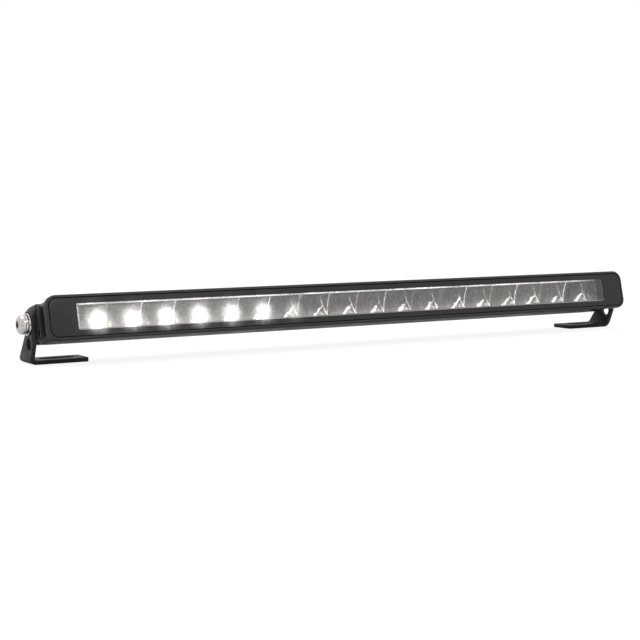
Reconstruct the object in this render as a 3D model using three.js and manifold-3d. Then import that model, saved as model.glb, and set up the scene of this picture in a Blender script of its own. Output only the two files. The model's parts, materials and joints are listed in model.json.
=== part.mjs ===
// LED light bar: a slim single-row lamp that tilts between two L-shaped brackets.
// Millimetres, +Z up, +X along the bar, the light shines towards -Y.
// The two feet stand on Z = 0 and the origin is under the middle of the whole part.
//
// The lamp is drawn upright in its own group: x along the bar, y is the depth behind the
// front edge, z is the height over the lamp's centre line. The group is then turned about
// the pivot screws, which is how the lamp is tilted in use.
import * as THREE from 'three';
import { mergeVertices } from 'three/addons/utils/BufferGeometryUtils.js';
import Module from 'manifold-3d';

const wasm = await Module();
wasm.setup();

// ---------------------------------------------------------------- driving dimensions

const gap = 0.3;                 // clearance between two pieces that touch
const over = 1;                  // how far a cutting shape reaches past what it cuts

// LED cells
const cellCount = 18;
const cellsPerReflector = 6;
const ledWidth = 4.4;            // base of one emitter
const ledBaseHeight = 1.2;
const ledDomeRadius = 1.9;
const ledDepth = 8.3;            // emitter's centre behind the front edge
const stripEnd = 0.6;            // LED board past the last cell

// front frame: flange around the lens, and the wall behind it
const frameLength = 525.4;
const frameHeight = 32.2;
const frameCorner = 8;
const flangeDepth = 5;
const flangeRound = 1.2;
const skirtDepth = 10;           // where the flange has curved down to the wall
const skirtRound = 4;
const skirtInset = 0.6;          // skirt's outline inside the flange's
const skirtStep = 1;             // how far the skirt curves in
const wallStep = 1.6;            // how far the wall stands inside the flange
const wallEndStep = 1.5;         // the same at the two ends
const wallRound = 1.2;
const wallThickness = 3.3;
const endBlock = 15.2;           // solid metal at each end, which the pivot screw goes into
const rimWidth = 2.3;            // flange seen beside the lens

// lens, its black border and gaskets
const borderThickness = 0.8;
const lensThickness = 3;
const gasketThickness = 0.8;
const gasketInset = 1;           // gaskets behind the lens end this far inside the metal
const borderSide = 20.4;         // border left and right of the window
const borderHeight = 4.4;        // border above and below the window
const windowMargin = 2.4;        // window past the last cell
const windowCorner = 1;
const lensLedge = 2.6;           // width of the ledge that carries the lens

// reflector bowls
const reflectorWall = 0.9;
const reflectorSetback = 0.1;    // behind the ledge's front face
const bowlBack = 24;             // deepest point of a bowl
const bowlRise = 35.6;           // four focal lengths of the bowl's upright section
const bowlSpread = 42;           // the same of its level section
const bowlRoof = 1.3;            // material over the bowls
const backRoom = 5.9;            // behind the reflectors, for the driver and the gland's nut

// boards
const shelfThickness = 1.4;
const boardThickness = 1.4;
const boardSetback = 0.9;        // front edge of the boards behind the ledge's front face
const driverLength = 60;
const driverHeight = 15;
const driverCentre = 180;        // distance from the middle of the lamp
const coilRadius = 5;
const coilHoleRadius = 2;
const coilHeight = 3.2;
const capacitorRadius = 1.9;
const capacitorLength = 11;
const partMargin = 6;            // from a part on the driver board to the board's end

// heat sink behind the frame
const bodyStep = 1.3;            // heat sink's top and bottom inside the frame's
const bodyCorner = 3;
const baseThickness = 3.5;
const finDepth = 7.8;
const finCount = 6;
const finThickness = 2.4;
const channelInset = 4;          // screw channel's centre in from the top and bottom
const channelRearInset = 5;      // the same from the rear
const channelWidth = 6;
const pocketWidth = 20;          // machined clear of fins for the gland and the vent
const pocketInset = 20;          // pocket's centre in from the heat sink's end

// end caps
const capThickness = 4.4;
const capOverhang = 1.1;         // flange past the cap's outer face
const capRound = 1.2;
const padThickness = 2.5;
const padClearance = 1.9;        // pad's rear edge to the heads of the rear screws
const padHeight = 25;
const padCorner = 5;
const padRound = 0.6;
const padScrewEdge = 1.3;        // from the pad's edge to a screw's head
const capScrewRadius = 1.5;
const capScrewHeadRadius = 2.6;
const capScrewHeadHeight = 1.5;
const capScrewLength = 7;
const capScrewSocketWidth = 2;
const capScrewSocketDepth = 0.8;
const headLand = 0.62;           // flat round a socket, as a share of the socket's width
const headEdge = 0.25;           // upright edge of a head, as a share of its height

// cable gland and breather vent
const glandThreadRadius = 5;
const glandHexWidth = 13;
const glandHexDepth = 3;
const glandDomeRadius = 5.8;
const glandDomeDepth = 4.2;
const glandDomeTaper = 0.8;
const glandThreadEnd = 0.5;      // thread past the nut
const glandSealRadius = 3.2;     // rubber face that the cable would pass
const glandSealDepth = 1.5;
const nutThickness = 2.2;
const nutWidth = 13;
const ventRadius = 5;
const ventDepth = 3;
const ventThreadRadius = 2.5;

// pivot: screws of metric size 8 with a flat and a spring washer
const pivotInset = 5.4;          // ahead of the frame's rear edge
const pivotHeight = 28.9;
const tiltAngle = THREE.MathUtils.degToRad(13.4);
const screwRadius = 4;
const screwLength = 22;
const screwHeadRadius = 7;
const screwHeadHeight = 4.2;
const screwSocketWidth = 5;
const screwSocketDepth = 2.6;
const washerRadius = 8;
const washerThickness = 1.3;
const springWasherRadius = 6.9;
const springWasherThickness = 1.6;
const springWasherSlit = 1.2;

// brackets
const plateThickness = 3;
const earWidth = 16;
const earAbovePivot = 9;
const earCorner = 4;
const earFrontShoulder = 14.5;   // height where the ear's front edge starts to slope back
const earRearShoulder = 20.5;
const footFront = 2;             // foot's front edge ahead of the pivot
const footWidth = 23.5;
const footLength = 44.4;
const footCorner = 2.5;
const footEdge = 2.5;            // upright edge under each slope
const bendInside = 1.5;
const stowHole = 9;              // lower hole in the ear
const stowHoleHeight = 14.6;
const slotWidth = 8.5;
const slotLength = 26;
const slotFromTip = 7.5;

// how finely round shapes are drawn
const cornerSteps = 4;
const edgeSteps = 2;
const roundSteps = 18;
const smallRoundSteps = 10;
const bowlSteps = 5;
const domeSteps = 3;

// ---------------------------------------------------------------- what follows from them

const wallLength = frameLength - 2 * wallEndStep;
const wallHeight = frameHeight - 2 * wallStep;
const wallCorner = frameCorner - wallStep;
const lensLength = frameLength - 2 * rimWidth;
const lensHeight = frameHeight - 2 * rimWidth;
const lensCorner = frameCorner - rimWidth;
const windowLength = lensLength - 2 * borderSide;
const windowHeight = lensHeight - 2 * borderHeight;
const cellPitch = (windowLength - 2 * windowMargin) / cellCount;
const cavityLength = wallLength - 2 * endBlock;
const cavityHeight = wallHeight - 2 * wallThickness;
const cavityCorner = Math.max(wallCorner - wallThickness, 1);
const lensFront = borderThickness + gap;
const lensBack = lensFront + lensThickness;
const gasketFront = lensBack + gap;
const gasketBack = gasketFront + gasketThickness;
const ledgeFront = gasketBack + gap;
const ledgeHoleLength = cavityLength;
const ledgeHoleHeight = lensHeight - 2 * lensLedge;

const shelfBottom = -cavityHeight / 2 + gap;
const shelfTop = shelfBottom + shelfThickness;
const boardBottom = shelfTop + gap;
const boardTop = boardBottom + boardThickness;
const boardFront = ledgeFront + boardSetback;
const ledStripLength = cellCount * cellPitch + 2 * stripEnd;
const ledBase = boardTop + gap / 2;

const reflectorFront = ledgeFront + reflectorSetback;
const reflectorBottom = boardTop + gap;
const reflectorTop = cavityHeight / 2 - gap;
const bowlCentre = ledBase + ledBaseHeight;
const reflectorBack = bowlBack + reflectorWall;

const wallDepth = reflectorBack + backRoom;
const bodyFront = wallDepth + 2 * gap + gasketThickness;
const bodyHeight = wallHeight - 2 * bodyStep;
const boardBack = bodyFront - gap;
const capOuter = frameLength / 2 - capOverhang;
const capInner = capOuter - capThickness;
const sinkEnd = capInner - gasketThickness - 2 * gap;
const baseBack = bodyFront + baseThickness;
const bodyRear = baseBack + finDepth;
const pivotDepth = wallDepth - pivotInset;
const pocketCentre = sinkEnd - pocketInset;

const padFront = skirtDepth + 2 * gap;
const padRear = bodyRear - channelRearInset - capScrewHeadRadius - padClearance;
const padOuter = capOuter + padThickness;
const earInner = padOuter + gap;
const earOuter = earInner + plateThickness;
const screwHole = screwRadius + gap;

// ---------------------------------------------------------------- materials

function finish(colour, roughness, metalness) {
  return new THREE.MeshStandardMaterial({ color: colour, roughness, metalness });
}

const blackPaint = finish(0x3a3a3b, 0.5, 0.3);
const bracketPaint = finish(0x2e2e30, 0.6, 0.2);
const anodised = finish(0x333336, 0.5, 0.6);
const borderInk = finish(0x38383a, 0.25, 0);
const clearLens = finish(0xdfe6ea, 0.05, 0);
const mirror = finish(0xb8babd, 0.15, 1);
const rubber = finish(0x161616, 0.85, 0);
const boardMask = finish(0xe8e8e2, 0.5, 0);
const driverMask = finish(0x1d5a34, 0.5, 0);
const emitter = finish(0xf4f2e0, 0.3, 0);
const stainless = finish(0xc9cacc, 0.2, 1);
const zincPlate = finish(0x9d9fa3, 0.35, 1);
const nylon = finish(0x1b1b1c, 0.6, 0);
const ferrite = finish(0x2f2c2b, 0.7, 0);
const capacitorSleeve = finish(0x2b3f6b, 0.4, 0.2);

// ---------------------------------------------------------------- solids

function solid(geometry) {
  const bare = geometry.clone();
  bare.deleteAttribute('normal');
  bare.deleteAttribute('uv');
  const merged = mergeVertices(bare, 1e-5);
  return new wasm.Manifold(new wasm.Mesh({
    numProp: 3,
    vertProperties: merged.attributes.position.array,
    triVerts: new Uint32Array(merged.index.array),
  }));
}

function geometryOf(manifold) {
  const mesh = manifold.getMesh();
  const geometry = new THREE.BufferGeometry();
  geometry.setAttribute('position', new THREE.BufferAttribute(mesh.vertProperties, 3));
  geometry.setIndex(new THREE.BufferAttribute(mesh.triVerts, 1));
  geometry.computeVertexNormals();
  return geometry;
}

function joined(...geometries) {
  return geometries.map(solid).reduce((whole, piece) => whole.add(piece));
}

function cutBy(body, ...geometries) {
  return geometries.map(solid).reduce((rest, tool) => rest.subtract(tool), body);
}

// ---------------------------------------------------------------- shapes

// Rectangle with round corners, centred on (cx, cy), drawn on a Shape or a hole's Path.
function roundedOutline(path, width, height, radius, cx = 0, cy = 0) {
  const r = Math.min(radius, width / 2, height / 2);
  const x = width / 2 - r;
  const y = height / 2 - r;
  path.absarc(cx + x, cy - y, r, -Math.PI / 2, 0);
  path.absarc(cx + x, cy + y, r, 0, Math.PI / 2);
  path.absarc(cx - x, cy + y, r, Math.PI / 2, Math.PI);
  path.absarc(cx - x, cy - y, r, Math.PI, Math.PI * 1.5);
  path.closePath();
  return path;
}

// Extrudes a shape drawn in (x, height) from depth `from` back to depth `to`.
// A bevel rounds the front and rear edges inside the shape's own outline.
function extrudeDepth(shape, from, to, bevel = 0, bevelDepth = bevel) {
  const geometry = new THREE.ExtrudeGeometry(shape, {
    depth: to - from - 2 * bevelDepth,
    bevelEnabled: bevel > 0,
    bevelSize: bevel,
    bevelOffset: -bevel,
    bevelThickness: bevelDepth,
    bevelSegments: edgeSteps,
    curveSegments: cornerSteps,
  });
  geometry.rotateX(Math.PI / 2);
  geometry.translate(0, to - bevelDepth, 0);
  return geometry;
}

function plate(width, height, radius, from, to, bevel = 0, bevelDepth = bevel) {
  const shape = roundedOutline(new THREE.Shape(), width, height, radius);
  return extrudeDepth(shape, from, to, bevel, bevelDepth);
}

function ring(outer, inner, from, to) {
  const shape = roundedOutline(new THREE.Shape(), ...outer);
  shape.holes.push(roundedOutline(new THREE.Path(), ...inner));
  return extrudeDepth(shape, from, to);
}

// Extrudes a shape drawn in (depth, height) along x, from x = from to x = to.
function extrudeAlong(shape, from, to, bevel = 0) {
  const geometry = new THREE.ExtrudeGeometry(shape, {
    depth: to - from - 2 * bevel,
    bevelEnabled: bevel > 0,
    bevelSize: bevel,
    bevelOffset: -bevel,
    bevelThickness: bevel,
    bevelSegments: edgeSteps,
    curveSegments: cornerSteps,
  });
  geometry.rotateX(Math.PI / 2);
  geometry.rotateZ(Math.PI / 2);
  geometry.translate(from + bevel, 0, 0);
  return geometry;
}

function block(x0, x1, y0, y1, z0, z1) {
  const geometry = new THREE.BoxGeometry(x1 - x0, y1 - y0, z1 - z0);
  geometry.translate((x0 + x1) / 2, (y0 + y1) / 2, (z0 + z1) / 2);
  return geometry;
}

function rodX(radius, x0, x1, y, z, steps = roundSteps) {
  const geometry = new THREE.CylinderGeometry(radius, radius, Math.abs(x1 - x0), steps);
  geometry.rotateZ(Math.PI / 2);
  geometry.translate((x0 + x1) / 2, y, z);
  return geometry;
}

function rodY(radius, y0, y1, x, z, steps = roundSteps) {
  const geometry = new THREE.CylinderGeometry(radius, radius, y1 - y0, steps);
  geometry.translate(x, (y0 + y1) / 2, z);
  return geometry;
}

function rodZ(radius, z0, z1, x, y, steps = roundSteps) {
  const geometry = new THREE.CylinderGeometry(radius, radius, z1 - z0, steps);
  geometry.rotateX(Math.PI / 2);
  geometry.translate(x, y, (z0 + z1) / 2);
  return geometry;
}

// Turns a profile of (radius, distance) points about its axis.
// The distance runs along +x when side is 1 and along -x when it is -1.
function turned(profile, side, steps = roundSteps) {
  const geometry = new THREE.LatheGeometry(profile.map(([r, d]) => new THREE.Vector2(r, d)), steps);
  geometry.rotateZ(side > 0 ? -Math.PI / 2 : Math.PI / 2);
  return geometry;
}

function mirrored(side, a, b) {
  return side > 0 ? [a, b] : [-b, -a];
}

function named(name, geometry, material) {
  const mesh = new THREE.Mesh(geometry, material);
  mesh.name = name;
  return mesh;
}

// ---------------------------------------------------------------- front of the lamp

function frontFrame() {
  const flange = plate(frameLength, frameHeight, frameCorner, 0, flangeDepth, flangeRound);
  const skirt = plate(
    frameLength - 2 * skirtInset, frameHeight - 2 * skirtInset, frameCorner - skirtInset,
    skirtInset, skirtDepth, skirtStep, skirtRound,
  );
  const wall = plate(wallLength, wallHeight, wallCorner, flangeDepth / 2, wallDepth, wallRound);
  const seat = plate(lensLength + 2 * gap, lensHeight + 2 * gap, lensCorner + gap, -over, ledgeFront);
  const opening = plate(ledgeHoleLength, ledgeHoleHeight, cavityCorner, 0, wallDepth);
  const cavity = plate(cavityLength, cavityHeight, cavityCorner, reflectorFront, wallDepth + over);
  const screwHoles = capScrewPlaces('frame').map(([y, z]) => rodX(
    capScrewRadius + gap, -frameLength / 2, frameLength / 2, y, z, smallRoundSteps));
  const pivotHole = rodX(screwHole, -frameLength / 2, frameLength / 2, pivotDepth, 0);
  const body = cutBy(
    joined(flange, skirt, wall), seat, opening, cavity, pivotHole, ...screwHoles);
  return named('front_frame', geometryOf(body), blackPaint);
}

function lensPieces() {
  const border = ring(
    [lensLength, lensHeight, lensCorner],
    [windowLength, windowHeight, windowCorner],
    0, borderThickness,
  );
  // the pane stands forward in the border's window, so that the front is flush
  const lens = geometryOf(joined(
    plate(lensLength, lensHeight, lensCorner, lensFront, lensBack),
    plate(windowLength - 2 * gap, windowHeight - 2 * gap, windowCorner, 0, lensBack - gap),
  ));
  const gasket = ring(
    [lensLength, lensHeight, lensCorner],
    [ledgeHoleLength, ledgeHoleHeight, cavityCorner],
    gasketFront, gasketBack,
  );
  return [
    named('lens_border', border, borderInk),
    named('front_lens', lens, clearLens),
    named('lens_gasket', gasket, rubber),
  ];
}

function bodyGasket() {
  const gasket = ring(
    [wallLength - 2 * gasketInset, wallHeight - 2 * gasketInset, wallCorner],
    [cavityLength - gap, cavityHeight - gap, cavityCorner],
    wallDepth + gap, bodyFront - gap,
  );
  return named('body_gasket', gasket, rubber);
}

// One moulded strip of bowls under a flat roof. Each bowl has a parabola for its upright
// and its level section, and the emitter shines up into it.
function reflector(index) {
  const length = cellsPerReflector * cellPitch - gap;
  const x0 = (index * cellsPerReflector - cellCount / 2) * cellPitch + gap / 2;
  const body = solid(
    block(x0, x0 + length, reflectorFront, reflectorBack, reflectorBottom, reflectorTop));
  const bowls = [];
  for (let cell = 0; cell < cellsPerReflector; cell += 1) {
    bowls.push(bowl(x0 - gap / 2 + (cell + 0.5) * cellPitch));
  }
  const underRoof = block(
    x0 - over, x0 + length + over, reflectorFront - over, bowlBack + over,
    reflectorBottom - over, reflectorTop - bowlRoof);
  const hollow = joined(...bowls).intersect(solid(underRoof));
  const strip = body.subtract(hollow);
  return named(`reflector_${index + 1}`, geometryOf(strip), mirror);
}

function bowl(x) {
  const front = reflectorFront - over;
  const profile = [[0, front]];
  for (let i = 0; i <= bowlSteps; i += 1) {
    const depth = front + (bowlBack - front) * Math.sin((i / bowlSteps) * Math.PI / 2);
    profile.push([Math.sqrt(bowlRise * Math.max(bowlBack - depth, 0)), depth]);
  }
  const points = profile.map(([r, d]) => new THREE.Vector2(r, d));
  const geometry = new THREE.LatheGeometry(points, 2 * smallRoundSteps);
  geometry.scale(Math.sqrt(bowlSpread / bowlRise), 1, 1);
  geometry.translate(x, 0, bowlCentre);
  return geometry;
}

function led(index) {
  const x = (index + 0.5 - cellCount / 2) * cellPitch;
  const base = block(
    x - ledWidth / 2, x + ledWidth / 2,
    ledDepth - ledWidth / 2, ledDepth + ledWidth / 2,
    ledBase, ledBase + ledBaseHeight,
  );
  const profile = [[0, -ledBaseHeight / 2], [ledDomeRadius, -ledBaseHeight / 2]];
  for (let i = 0; i <= domeSteps; i += 1) {
    const angle = (i / domeSteps) * Math.PI / 2;
    profile.push([ledDomeRadius * Math.cos(angle), ledDomeRadius * Math.sin(angle)]);
  }
  const points = profile.map(([r, h]) => new THREE.Vector2(r, h));
  const dome = new THREE.LatheGeometry(points, smallRoundSteps);
  dome.rotateX(Math.PI / 2);
  dome.translate(x, ledDepth, ledBase + ledBaseHeight);
  return named(`led_${String(index + 1).padStart(2, '0')}`, geometryOf(joined(base, dome)), emitter);
}

// ---------------------------------------------------------------- boards

function ledBoard() {
  const half = ledStripLength / 2;
  const board = block(-half, half, boardFront, boardBack, boardBottom, boardTop);
  return named('led_board', board, boardMask);
}

// The driver board stands on the heat sink's front face, with its parts towards the reflectors.
function driverPieces() {
  const x0 = driverCentre - driverLength / 2;
  const x1 = driverCentre + driverLength / 2;
  const back = bodyFront - gap;
  const front = back - boardThickness;
  const bottom = boardTop + gap;
  const middle = bottom + driverHeight / 2;
  const board = block(x0, x1, front, back, bottom, bottom + driverHeight);
  const seat = front - gap;
  const coilX = x0 + coilRadius + partMargin;
  const coil = cutBy(
    solid(rodY(coilRadius, seat - coilHeight, seat, coilX, middle)),
    rodY(coilHoleRadius, seat - coilHeight - over, seat - coilHeight / 2, coilX, middle,
      smallRoundSteps),
  );
  const can = rodX(
    capacitorRadius, x1 - partMargin - capacitorLength, x1 - partMargin,
    seat - capacitorRadius, middle);
  return [
    named('driver_board', board, driverMask),
    named('driver_coil', geometryOf(coil), ferrite),
    named('driver_capacitor', can, capacitorSleeve),
  ];
}

// ---------------------------------------------------------------- heat sink

function bodyOutline() {
  const depth = bodyRear - bodyFront;
  return roundedOutline(new THREE.Shape(), depth, bodyHeight, bodyCorner, bodyFront + depth / 2, 0);
}

function heatSink() {
  const half = bodyHeight / 2;
  const finPitch = (bodyHeight - finThickness) / (finCount - 1);
  const pieces = [block(-sinkEnd, sinkEnd, bodyFront, baseBack, -half, half)];
  for (const [y, z] of capScrewPlaces('body')) {
    const reach = channelWidth / 2;
    pieces.push(block(-sinkEnd, sinkEnd, y - reach, y + reach, z - reach, z + reach));
  }
  for (let i = 0; i < finCount; i += 1) {
    const z = -half + i * finPitch;
    pieces.push(block(-sinkEnd, sinkEnd, baseBack - over, bodyRear, z, z + finThickness));
  }
  const shelfHalf = ledStripLength / 2;
  const shelf = block(
    -shelfHalf, shelfHalf, boardFront, bodyFront + over, shelfBottom, shelfTop);
  let body = joined(...pieces).intersect(solid(extrudeAlong(bodyOutline(), -sinkEnd, sinkEnd)));
  body = body.add(solid(shelf));
  for (const side of [-1, 1]) {
    const [x0, x1] = mirrored(
      side, pocketCentre - pocketWidth / 2, pocketCentre + pocketWidth / 2);
    body = cutBy(
      body,
      block(x0, x1, baseBack, bodyRear + over, finThickness - half, half - finThickness),
      ...capScrewHoles('body', side, sinkEnd - capScrewLength, sinkEnd + over),
    );
  }
  body = cutBy(
    body,
    rodY(glandThreadRadius + gap, bodyFront - over, baseBack + over, pocketCentre, 0),
    rodY(ventThreadRadius + gap, bodyFront - over, baseBack + over, -pocketCentre, 0),
  );
  return named('heat_sink', geometryOf(body), anodised);
}

// ---------------------------------------------------------------- ends of the lamp

// Where the small screws of an end cap go, as [depth, height].
function capScrewPlaces(into) {
  if (into === 'body') {
    const y = bodyRear - channelRearInset;
    const z = bodyHeight / 2 - channelInset;
    return [[y, z], [y, -z]];
  }
  const front = padFront + padScrewEdge + capScrewHeadRadius;
  const reach = padHeight / 2 - padScrewEdge - capScrewHeadRadius;
  return [[front, reach], [front, -reach]];
}

// Clearance holes for those screws, between two distances from the middle of the lamp.
function capScrewHoles(into, side, from, to) {
  return capScrewPlaces(into).map(([y, z]) => rodX(
    capScrewRadius + gap, side * from, side * to, y, z, smallRoundSteps));
}

function endCap(side) {
  const [plate0, plate1] = mirrored(side, capInner, capOuter);
  const padMiddle = (padFront + padRear) / 2;
  const padOutline = roundedOutline(
    new THREE.Shape(), padRear - padFront, padHeight, padCorner, padMiddle, 0);
  const [pad0, pad1] = mirrored(side, capOuter - padRound, padOuter);
  const frameSide = wallLength / 2 + gap;
  const [clear0, clear1] = mirrored(side, capInner - over, frameSide);
  let body = joined(extrudeAlong(bodyOutline(), plate0, plate1, capRound),
    extrudeAlong(padOutline, pad0, pad1, padRound));
  body = cutBy(
    body,
    block(clear0, clear1, padFront - over, bodyFront - gap / 3, -bodyHeight, bodyHeight),
    rodX(screwHole, side * (capInner - over), side * (padOuter + over), pivotDepth, 0),
    ...capScrewHoles('body', side, capInner - over, padOuter + over),
    ...capScrewHoles('frame', side, capInner - over, padOuter + over),
    ...capScrewPlaces('frame').map(([y, z]) => rodX(
      capScrewHeadRadius + gap, side * (padOuter - capScrewHeadHeight), side * (padOuter + over),
      y, z, smallRoundSteps)),
  );
  return named(sided(side, 'end_cap'), geometryOf(body), blackPaint);
}

function sided(side, name) {
  return `${side < 0 ? 'left' : 'right'}_${name}`;
}

function capGasket(side) {
  const [x0, x1] = mirrored(side, sinkEnd + gap, capInner - gap);
  const depth = bodyRear - bodyFront;
  const outline = roundedOutline(
    new THREE.Shape(), depth - 2 * gasketInset, bodyHeight - 2 * gasketInset, bodyCorner,
    bodyFront + depth / 2, 0);
  const body = cutBy(
    solid(extrudeAlong(outline, x0, x1)),
    ...capScrewHoles('body', side, sinkEnd - over, capInner + over),
  );
  return named(sided(side, 'cap_gasket'), geometryOf(body), rubber);
}

// Round-headed screw along x, with its head's underside at `seat` and a hexagon socket.
function socketScrew(side, size, seat, y, z) {
  const steps = size.steps;
  const dome = [];
  for (let i = 0; i <= domeSteps; i += 1) {
    const angle = (i / domeSteps) * Math.PI / 2;
    const flat = size.socket * headLand;
    dome.push([
      flat + (size.head - flat) * Math.cos(angle),
      size.height * (headEdge + (1 - headEdge) * Math.sin(angle)),
    ]);
  }
  const profile = [[0, -size.length], [size.shank, -size.length], [size.shank, 0], [size.head, 0],
    ...dome, [0, size.height]];
  const socket = rodX(
    size.socket / 2, side * (size.height - size.depth), side * (size.height + over), 0, 0, 6);
  const geometry = geometryOf(cutBy(solid(turned(profile, side, steps)), socket));
  geometry.translate(side * seat, y, z);
  return geometry;
}

function capScrews(side) {
  const size = {
    shank: capScrewRadius, length: capScrewLength, head: capScrewHeadRadius,
    height: capScrewHeadHeight - gap, socket: capScrewSocketWidth,
    depth: capScrewSocketDepth, steps: smallRoundSteps,
  };
  const bodySeat = capOuter + gap / 3;
  const frameSeat = padOuter - capScrewHeadHeight + gap / 3;
  const frameSize = { ...size, length: frameSeat - wallLength / 2 + wallThickness - gap };
  const bodySize = { ...size, length: capScrewLength + capThickness - gap - capScrewHeadHeight };
  const places = [
    ...capScrewPlaces('body').map(([y, z]) => socketScrew(side, bodySize, bodySeat, y, z)),
    ...capScrewPlaces('frame').map(([y, z]) => socketScrew(side, frameSize, frameSeat, y, z)),
  ];
  return places.map((geometry, i) => named(sided(side, `cap_screw_${i + 1}`), geometry, zincPlate));
}

// ---------------------------------------------------------------- gland and vent

function hexPrism(width, y0, y1, x, z) {
  const geometry = new THREE.CylinderGeometry(width / Math.sqrt(3), width / Math.sqrt(3), y1 - y0, 6);
  geometry.translate(x, (y0 + y1) / 2, z);
  return geometry;
}

function cableGland() {
  const seat = baseBack + gap;
  const hexBack = seat + glandHexDepth;
  const tip = hexBack + glandDomeDepth;
  const inner = bodyFront - gap - nutThickness - glandThreadEnd;
  const dome = new THREE.CylinderGeometry(
    glandDomeRadius, glandDomeRadius * glandDomeTaper, glandDomeDepth, roundSteps);
  dome.rotateX(Math.PI);
  dome.translate(pocketCentre, hexBack + glandDomeDepth / 2, 0);
  const body = cutBy(
    joined(
      hexPrism(glandHexWidth, seat, hexBack, pocketCentre, 0),
      dome,
      rodY(glandThreadRadius, inner, seat + over, pocketCentre, 0),
    ),
    rodY(glandSealRadius, tip - glandSealDepth, tip + over, pocketCentre, 0, smallRoundSteps),
  );
  return named('cable_gland', geometryOf(body), nylon);
}

function glandNut() {
  const back = bodyFront - gap;
  const body = cutBy(
    solid(hexPrism(nutWidth, back - nutThickness, back, pocketCentre, 0)),
    rodY(glandThreadRadius + gap, back - nutThickness - over, back + over, pocketCentre, 0),
  );
  return named('gland_nut', geometryOf(body), nylon);
}

function breatherVent() {
  const seat = baseBack + gap;
  const body = joined(
    rodY(ventRadius, seat, seat + ventDepth, -pocketCentre, 0),
    rodY(ventThreadRadius, bodyFront, seat + over, -pocketCentre, 0, smallRoundSteps),
  );
  return named('breather_vent', geometryOf(body), nylon);
}

// ---------------------------------------------------------------- pivots

function pivotPieces(side) {
  const washerSeat = earOuter + gap;
  const springSeat = washerSeat + washerThickness + gap;
  const headSeat = springSeat + springWasherThickness + gap;
  const [w0, w1] = mirrored(side, washerSeat, washerSeat + washerThickness);
  const washer = cutBy(solid(rodX(washerRadius, w0, w1, pivotDepth, 0, 2 * smallRoundSteps)),
    rodX(screwHole, w0 - over, w1 + over, pivotDepth, 0));
  const [s0, s1] = mirrored(side, springSeat, springSeat + springWasherThickness);
  const slit = block(s0 - over, s1 + over, pivotDepth - 2 * springWasherRadius, pivotDepth,
    -springWasherSlit / 2, springWasherSlit / 2);
  const spring = cutBy(solid(rodX(springWasherRadius, s0, s1, pivotDepth, 0)),
    rodX(screwHole, s0 - over, s1 + over, pivotDepth, 0), slit);
  const size = {
    shank: screwRadius, length: screwLength, head: screwHeadRadius, height: screwHeadHeight,
    socket: screwSocketWidth, depth: screwSocketDepth, steps: roundSteps,
  };
  return [
    named(sided(side, 'flat_washer'), geometryOf(washer), stainless),
    named(sided(side, 'spring_washer'), geometryOf(spring), stainless),
    named(sided(side, 'pivot_screw'), socketScrew(side, size, headSeat, pivotDepth, 0), stainless),
  ];
}

// ---------------------------------------------------------------- brackets

// Side view of a bracket, as (y, z) with the pivot at y = 0 and the feet's plane at z = 0.
function bracketSide() {
  const half = earWidth / 2;
  const top = pivotHeight + earAbovePivot;
  const rear = footWidth - footFront;
  const shape = new THREE.Shape();
  shape.moveTo(-footFront, 0);
  shape.lineTo(rear, 0);
  shape.lineTo(rear, footEdge);
  shape.lineTo(half, earRearShoulder);
  shape.absarc(half - earCorner, top - earCorner, earCorner, 0, Math.PI / 2);
  shape.absarc(-half + earCorner, top - earCorner, earCorner, Math.PI / 2, Math.PI);
  shape.lineTo(-half, earFrontShoulder);
  shape.lineTo(-footFront, footEdge / 2);
  shape.closePath();
  return shape;
}

// Front view of a bracket, as (x, z): the bent plate's thickness.
function bracketBend(side) {
  const outer = bendInside + plateThickness;
  const top = pivotHeight + earAbovePivot + over;
  const tip = earOuter - footLength;
  const bendX = earOuter - outer;
  const shape = new THREE.Shape();
  const arc = (radius, from, to) => {
    for (let i = 0; i <= cornerSteps; i += 1) {
      const angle = from + (to - from) * (i / cornerSteps);
      shape.lineTo(side * (bendX + radius * Math.cos(angle)), outer + radius * Math.sin(angle));
    }
  };
  shape.moveTo(side * tip, 0);
  arc(outer, -Math.PI / 2, 0);
  shape.lineTo(side * earOuter, top);
  shape.lineTo(side * earInner, top);
  arc(bendInside, 0, -Math.PI / 2);
  shape.lineTo(side * tip, plateThickness);
  shape.closePath();
  return shape;
}

function bracket(side) {
  const tip = earOuter - footLength;
  const rear = footWidth - footFront;
  const bend = extrudeDepth(bracketBend(side), -earWidth, footWidth + earWidth);
  const [x0, x1] = mirrored(side, tip - over, earOuter + over);
  const outline = extrudeAlong(bracketSide(), x0, x1);
  const footMiddle = rear - footWidth / 2;
  const plan = roundedOutline(
    new THREE.Shape(), 2 * footLength, footWidth, footCorner, side * earOuter, footMiddle);
  const foot = new THREE.ExtrudeGeometry(
    plan, { depth: plateThickness + gap, bevelEnabled: false, curveSegments: cornerSteps });
  const ear = block(
    ...mirrored(side, earInner - bendInside, earOuter + over),
    -earWidth, footWidth + earWidth,
    -over, pivotHeight + earAbovePivot + over,
  );
  const slotCentre = tip + slotFromTip + slotLength / 2;
  const slotShape = roundedOutline(
    new THREE.Shape(), slotLength, slotWidth, slotWidth / 2, side * slotCentre, footMiddle);
  const slot = new THREE.ExtrudeGeometry(
    slotShape, { depth: plateThickness + 2 * over, bevelEnabled: false });
  slot.translate(0, 0, -over);
  const body = cutBy(
    solid(bend).intersect(solid(outline)).intersect(joined(foot, ear)),
    slot,
    rodX(screwHole, x0, x1, 0, pivotHeight),
    rodX(stowHole / 2, x0, x1, 0, stowHoleHeight),
  );
  return named(sided(side, 'bracket'), geometryOf(body), bracketPaint);
}

// ---------------------------------------------------------------- assembly

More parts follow.
